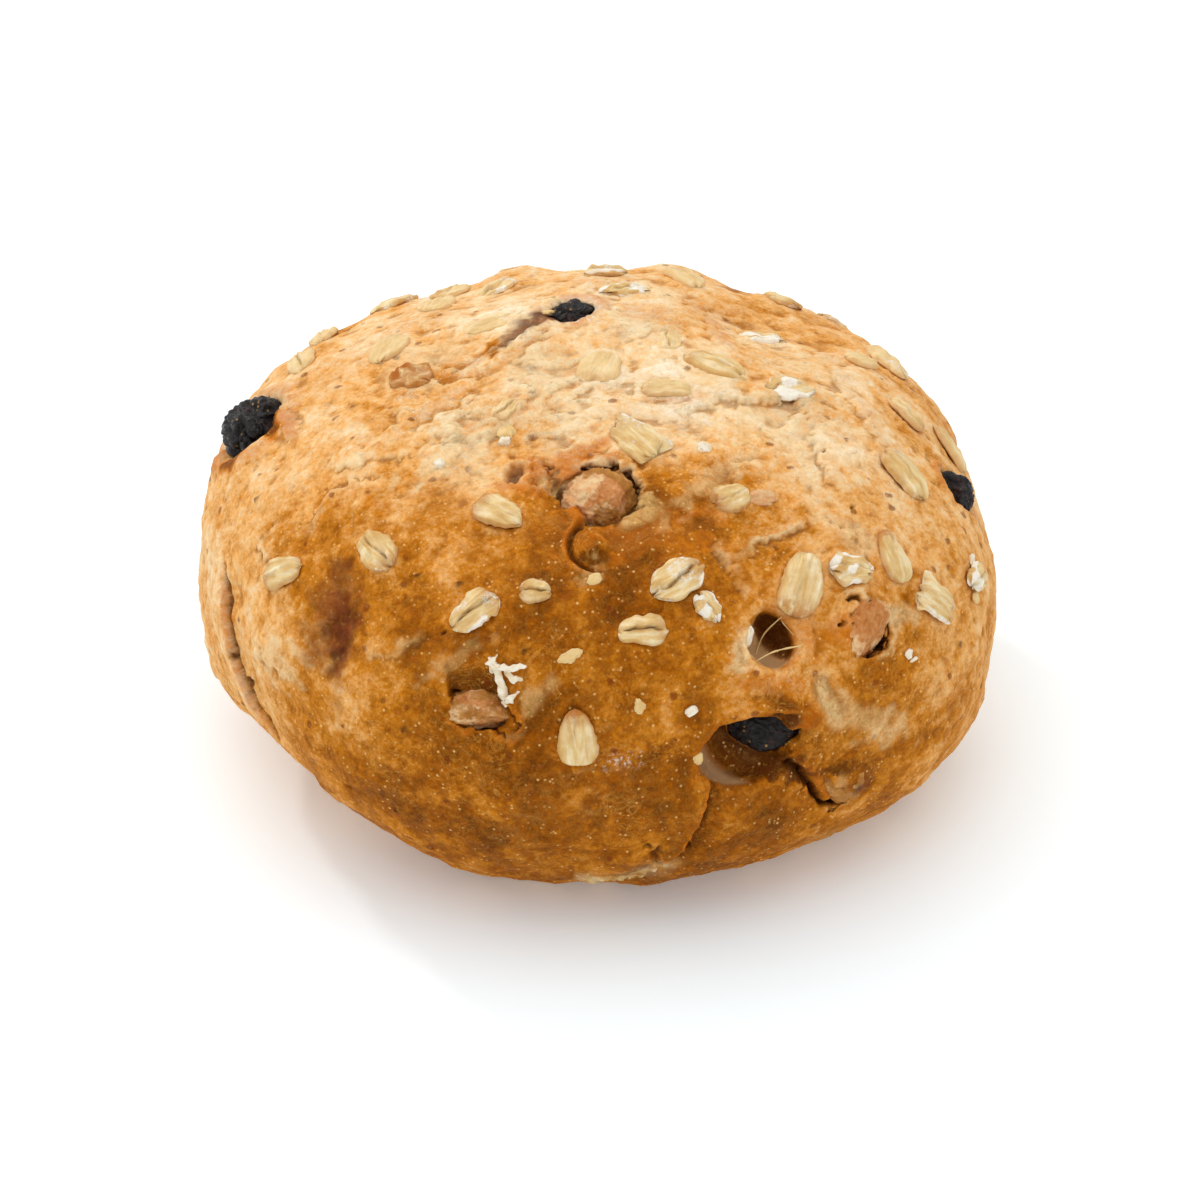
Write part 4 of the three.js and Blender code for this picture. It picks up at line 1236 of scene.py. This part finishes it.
for i, node in enumerate(OAT_FLAKES):
    kind = OAT_KIND_OF.get(i + 1, OAT_TURNS[i % len(OAT_TURNS)])
    waver, fray, crease, lap, taper, curl, squareness, toast, flour = OAT_KINDS[kind]
    middle, halves, ways = axes_of(node)
    way = unit(middle - WAIST_MIDDLE)
    turned_away = soft(70, 110, abs(math.degrees(math.atan2(way[0], -way[1]))))
    crown = max(soft(38, 58, math.degrees(math.asin(way[2]))), turned_away)
    bpy.ops.object.select_all(action="DESELECT")
    bpy.ops.mesh.primitive_uv_sphere_add(segments=72, ring_count=36, radius=MM)
    flake = bpy.context.object
    flake.name = node + "_rolled"
    across, upward, length = points_of(flake).T  # the sphere's poles become the flake's two tips
    girth = np.sqrt(np.maximum(1 - length**2, 1e-9))
    t, s = np.clip(across / girth, -1, 1), upward / girth
    side = -1 if (i % 2) ^ (i + 1 in FLIPPED) else 1
    rim = np.stack([length * 1.4, 5 * np.sign(t), 0 * t + i], axis=1)
    tips = np.stack([t * 1.6, 5 * np.sign(length), 0 * t + i], axis=1)
    outline = np.maximum(1 - np.abs(length) ** squareness, 0) ** (1 / squareness)
    wavy = wander(rim, 1.7, 400 + i) + 0.6 * wander(rim, 0.5, 420 + i)
    outline = outline * (1 - taper * length * side) * (1 + waver * wavy)
    frayed = fray * soft(0.55, 0.97, np.abs(length))
    x = length * (1 + frayed * (wander(tips, 1.5, 440 + i) + 0.6 * wander(tips, 0.5, 460 + i)))
    y = t * outline
    within = 1 - soft(0.62, 0.95, np.abs(length))
    from_crease = t - 0.12 * np.sin(2.3 * length + i) - 0.04 * wander(rim * (1, 0, 0), 0.7, 470 + i)
    furrow = bell(from_crease, 0.075) * within
    tip = np.maximum(1 - np.abs(length) ** 7, 0) ** 0.6
    lobes = np.abs(s) ** 0.62 * tip
    lines = np.stack([length * 1.3, t * 5, 0 * t + i], axis=1)
    wrinkles = tip * (0.06 * wander(lines, 2.2, 480 + i) + 0.025 * wander(lines, 0.9, 500 + i))
    wrinkles = wrinkles * (kind != "broken")
    body = np.stack([x, y, s], axis=1)
    if kind == "lump":
        wrinkles = 0.3 * wander(body, 0.9, 7) + 0.08 * wander(body, 0.4, 8)
    top = OAT_RISE * (1 - 0.3 * crown) * lobes - crease * furrow + wrinkles
    top = top + lap * soft(-0.03, 0.03, from_crease) * bell(from_crease, 0.45) * within
    ruffle = 0.65 + 0.35 * wander(rim, 1.0, 540 + i)
    waves = wander(np.stack([x * 2.2, y * 1.6, 0 * x + i], axis=1), 1.4, 580 + i)
    top = top + (0.04 if kind == "broken" else 0.16) * waves * lobes
    curled = 0.6 * soft(0.5, 1.02, side * t) + 0.4 * soft(0.6, 1.02, -side * length)
    lift = curl * ruffle * curled * girth**0.3
    lift = lift + 0.1 * wander(rim, 1.6, 560 + i) * soft(0.5, 1, np.abs(t))
    upper = soft(0.02, 0.3, s)
    rise = np.where(s > 0, upper * top + lift, lift - 0.55 * tip * np.abs(s) ** 0.6)
    shaped = np.stack([x * halves[0] * 1.02, y * halves[1] * 1.02, rise], axis=1)
    shaped[:, 2] -= (shaped[:, 0] ** 2 + shaped[:, 1] ** 2) / (2 * CRUST_CURVE) + 0.36 + 0.16 * crown
    shaped[:, 2] -= SUNK_MORE.get(i + 1, 0)
    move_points(flake, middle + shaped @ ways)
    toasted_end = soft(0.25, 1.0, (1 if kind == "seed" else -1) * side * length)
    keep_amounts(
        flake,
        {
            "furrow": min(1, 2 * crease) * furrow * upper * soft(-0.6, 0.3, wander(rim, 1.2, 570 + i)),
            "toast": toast * toasted_end + (toast > 1) * (toast - 1),
            "flour": flour * (soft(-0.7, 0.5, wander(body, 1.3, 520 + i)) + 0.5 * soft(0.6, 1.0, side * t)),
            "baked_in": crown * (0.7 + 0.3 * np.abs(t)) * (kind not in ("broken", "floury", "lump", "split")),
            "edge": soft(0.75, 1.0, np.abs(t)) * (1 - curl),
        },
    )
    layer = flake.data.attributes.new("grain", "FLOAT_VECTOR", "POINT")
    fibres = np.stack([x * 1.6 + 9 * i, y * halves[1] * 2.2, 0.5 * s], axis=1)
    layer.data.foreach_set("vector", fibres.astype(np.float32).ravel())
    finish_piece(flake, oat_look, node)

# ---- Strands, fibres, grains and crumbs ----
# Small things on the crust: gluten strands that the rising dough drew across the bubble, a popped oat husk
# with white branches, grains of oat and flour, and chips of nut. All stuck to the dough before or while it
# baked.


def on_crust(bearing, height, out=0.0):
    """A point out mm above the finished skin at a place."""
    way = towards(bearing, height)
    hit = finished_skin.ray_cast(Vector((WAIST_MIDDLE + 90 * way) * MM), Vector(-way))[0]
    return np.array(hit) / MM + out * way


finished_skin = BVHTree.FromObject(dough, bpy.context.evaluated_depsgraph_get())

# Dry oat husk: papery, off-white and slightly rough.
white_look, tree = new_material("dry_oat_husk")
place = place_in_mm()
husk_colour = ramp(noise(place, 0.9, 4), [(0.3, "#e2cda4"), (0.6, "#f4ead6")])
bumps = bump(noise(place, 0.35, 4), 0.6, 0.0003)
surface({"Base Color": husk_colour, "Roughness": 0.6, "Normal": bumps, "Specular IOR Level": 0.3})


def strand(name, run, thick, look, flat=1.0, rough=0.0):
    """A thread through points in mm, thick mm at its middle, flattened by flat and knobbly by rough mm."""
    bpy.ops.object.select_all(action="DESELECT")
    bpy.ops.mesh.primitive_uv_sphere_add(segments=20, ring_count=40, radius=MM)
    thread = bpy.context.object
    thread.name = name
    x, y, z = points_of(thread).T
    run = np.array(run, float)
    t = (1 - z) / 2 * (len(run) - 1)
    i = np.minimum(t.astype(int), len(run) - 2)
    f = t - i
    before, after = run[np.maximum(i - 1, 0)], run[np.minimum(i + 2, len(run) - 1)]
    a, b = run[i], run[i + 1]
    f = f[:, None]
    spine = 0.5 * (2 * a + (b - before) * f + (2 * before - 5 * a + 4 * b - after) * f**2)
    spine += 0.5 * (3 * a - before - 3 * b + after) * f**3
    ahead = unit(run[-1] - run[0])
    out = unit(run.mean(axis=0) - WAIST_MIDDLE)
    across = unit(np.cross(ahead, out))
    out = np.cross(across, ahead)
    girth = np.sqrt(np.maximum(1 - z**2, 1e-9)) ** 0.4
    fat = thick / 2 * (1 + 0.25 * wander(spine, 1.2, len(name))) / girth * (1 - 0.35 * (1 - z) / 2)
    fat = fat[:, None]
    placed = spine + fat * (x[:, None] * across + flat * y[:, None] * out)
    knobs = np.stack([wander(placed, 0.9, len(name) + axis) for axis in range(3)], axis=1)
    move_points(thread, placed + rough * knobs)
    finish_piece(thread, look)


def crumb(name, middle, halves, look, seed, turn=0.0):
    """A small broken grain: a ball knocked out of round, halves mm level, up and out of the crust."""
    bpy.ops.object.select_all(action="DESELECT")
    bpy.ops.mesh.primitive_ico_sphere_add(subdivisions=4, radius=MM)
    grain = bpy.context.object
    grain.name = name
    ball = points_of(grain)
    out = unit(middle - WAIST_MIDDLE)
    level = unit(np.cross([0, 0, 1], out))
    up = np.cross(out, level)
    t = math.radians(turn)
    ways = np.array([math.cos(t) * level + math.sin(t) * up, math.cos(t) * up - math.sin(t) * level, out])
    ball = break_faces(ball, 6, seed)
    size = 1 + 0.2 * wander(ball, 1.5, seed) + 0.1 * wander(ball, 0.5, seed + 1)
    move_points(grain, middle + (ball * size[:, None] * halves) @ ways)
    finish_piece(grain, look)


hole = [on_crust(*spot) for spot in ((31.9, 17.6), (24.6, 16.8), (31.0, 21.6), (26.4, 16.2, -0.2))]
sag = 1.1 * unit(hole[0] - WAIST_MIDDLE)
strand("gluten_strand_1", [hole[0], (hole[0] + hole[1]) / 2 - sag, hole[1]], 0.26, oat_look)
strand("gluten_strand_2", [hole[2], (hole[2] + hole[3]) / 2 - sag, hole[3]], 0.26, oat_look)
strand("gluten_strand_3", [hole[2], (2 * hole[2] + hole[0]) / 3 - sag, hole[0]], 0.2, oat_look)

# Each part of the husk: the places it passes and how far out of the skin, then how thick, flat and knobbly it
# is.
HUSK = {
    "husk_stem": (
        [(-13.6, 12.2, 0.3), (-13.9, 14.5, 0.9), (-14.6, 16.4, 1.1), (-15.6, 18.4, 0.9)],
        1.35,
        0.6,
        0.12,
    ),
    "husk_foot": ([(-13.6, 12.2, 0.3), (-12.6, 13.3, 0.7), (-11.8, 14.6, 0.5)], 0.95, 0.7, 0.2),
    "husk_branch_1": ([(-15.4, 17.9, 0.9), (-12.9, 17.9, 1.3), (-10.8, 18.7, 0.8)], 0.95, 0.8, 0.22),
    "husk_branch_2": ([(-13.8, 17.5, 1.2), (-12.4, 16.6, 1.2), (-11.0, 16.6, 0.7)], 1.15, 0.8, 0.24),
    "husk_branch_3": ([(-14.9, 17.0, 0.8), (-16.2, 18.2, 1.0), (-15.4, 19.3, 0.6)], 1.1, 0.8, 0.24),
}
for name, (spots, thick, flat, rough) in HUSK.items():
    strand(name, [on_crust(*spot) for spot in spots], thick, white_look, flat, rough)

GRAINS = [  # bearing, height, half length, half width, turn, slot and look
    (24.4, 20.4, 1.2, 0.7, 70, "rolled_oat", white_look),
    (24.9, 18.6, 0.6, 0.5, 20, "rolled_oat", white_look),
    (6.3, 12.9, 1.1, 0.7, 100, "rolled_oat", oat_look),
    (14.0, 11.2, 0.9, 0.7, 40, "rolled_oat", white_look),
    (14.8, 3.2, 0.9, 0.7, 90, "rolled_oat", oat_look),
    (48.8, 10.2, 0.8, 0.6, 20, "rolled_oat", white_look),
    (49.6, 9.0, 0.7, 0.3, 0, "rolled_oat", white_look),
    (70.5, 13.5, 0.9, 0.6, 30, "rolled_oat", white_look),
    (67.2, 9.4, 1.0, 0.8, 120, "rolled_oat", oat_look),
    (-152, 65.5, 1.4, 0.7, 110, "crust", oat_look),
    (-156, 63.5, 0.8, 0.5, 60, "crust", oat_look),
    (-46, 45.5, 0.9, 0.7, 20, "rolled_oat", white_look),
    (38, 53, 0.9, 0.8, 0, "rolled_oat", white_look),
    (-0.6, 31.2, 1.2, 0.7, 40, "crust", oat_look),
    (-4.0, 20.0, 1.4, 0.9, 30, "crust", oat_look),
    (39.6, 39.2, 2.2, 1.2, 156, "hazelnut", nut_look),
    (85.5, 16, 1.7, 1.1, 60, "hazelnut", nut_look),
    (-38, 58, 1.3, 1.1, 0, "rolled_oat", oat_look),
    (-36, 56, 0.9, 0.8, 60, "rolled_oat", white_look),
]
for i, (bearing, height, half_length, half_width, turn, slot, look) in enumerate(GRAINS):
    halves = (half_length, half_width, 0.55 * half_width)
    crumb(f"grain_{i + 1:02d}", on_crust(bearing, height, 0.15), halves, look, 600 + 2 * i, turn)

# ---- Floor, light and camera ----
# A plain white sweep under a wide softbox overhead, with a small light from behind on the left that draws the
# shadow's edge. The front of the roll lies in gentle shade.

CAMERA_HEIGHT_ANGLE = 34  # degrees above level
CAMERA_DISTANCE = 0.6  # metres
CAMERA_AIM = Vector((0.00045, 0.0, 0.02002))
CAMERA_LENS = 131.1  # mm, on a sensor 36 mm wide
WHITE_ROOM = 0.82  # strength of the light that comes from all round

bpy.ops.object.select_all(action="DESELECT")
bpy.ops.mesh.primitive_plane_add(size=6, location=(0, 0, 0))
floor = bpy.context.object
floor.name = "white_sweep"
# White painted sweep: matt, evenly white, a little brighter than the light alone would make it.
floor_look, tree = new_material("white_painted_sweep")
surface(
    {
        "Base Color": (0.93, 0.98, 1.0, 1),
        "Roughness": 0.7,
        "Specular IOR Level": 0.1,
        "Emission Color": (0.75, 0.92, 1.0, 1),
        "Emission Strength": 0.12,
    }
)
floor.data.materials.append(floor_look)
floor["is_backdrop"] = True

world = bpy.data.worlds.new("white_room")
bpy.context.scene.world = world
world.use_nodes = True
world.node_tree.nodes["Background"].inputs["Color"].default_value = (1, 1, 1, 1)
world.node_tree.nodes["Background"].inputs["Strength"].default_value = WHITE_ROOM


def soft_light(name, place, size, watts):
    lamp = bpy.data.lights.new(name, "AREA")
    lamp.energy = watts
    lamp.size = size
    light = bpy.data.objects.new(name, lamp)
    light.location = place
    light.rotation_euler = (Vector((0, 0, 0.03)) - Vector(place)).to_track_quat("-Z", "Y").to_euler()
    bpy.context.scene.collection.objects.link(light)
    light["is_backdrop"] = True


soft_light("softbox_overhead", (-0.1, -0.05, 1.0), 1.2, 4.0)
soft_light("light_behind_left", (-0.74, 0.8, 0.8), 0.12, 3.4)

camera_data = bpy.data.cameras.new("camera")
camera_data.sensor_width = 36
camera_data.lens = CAMERA_LENS
camera = bpy.data.objects.new("camera", camera_data)
angle = math.radians(CAMERA_HEIGHT_ANGLE)
camera.location = CAMERA_AIM + CAMERA_DISTANCE * Vector((0, -math.cos(angle), math.sin(angle)))
camera.rotation_euler = (math.pi / 2 - angle, 0, 0)
bpy.context.scene.collection.objects.link(camera)
bpy.context.scene.camera = camera
bpy.context.scene.view_settings.view_transform = "Standard"

visual_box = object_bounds()
sizes = {"cad_box": CAD_BOX, "visual_box": visual_box}
sizes = {name: [[float(c) for c in corner] for corner in corners] for name, corners in sizes.items()}
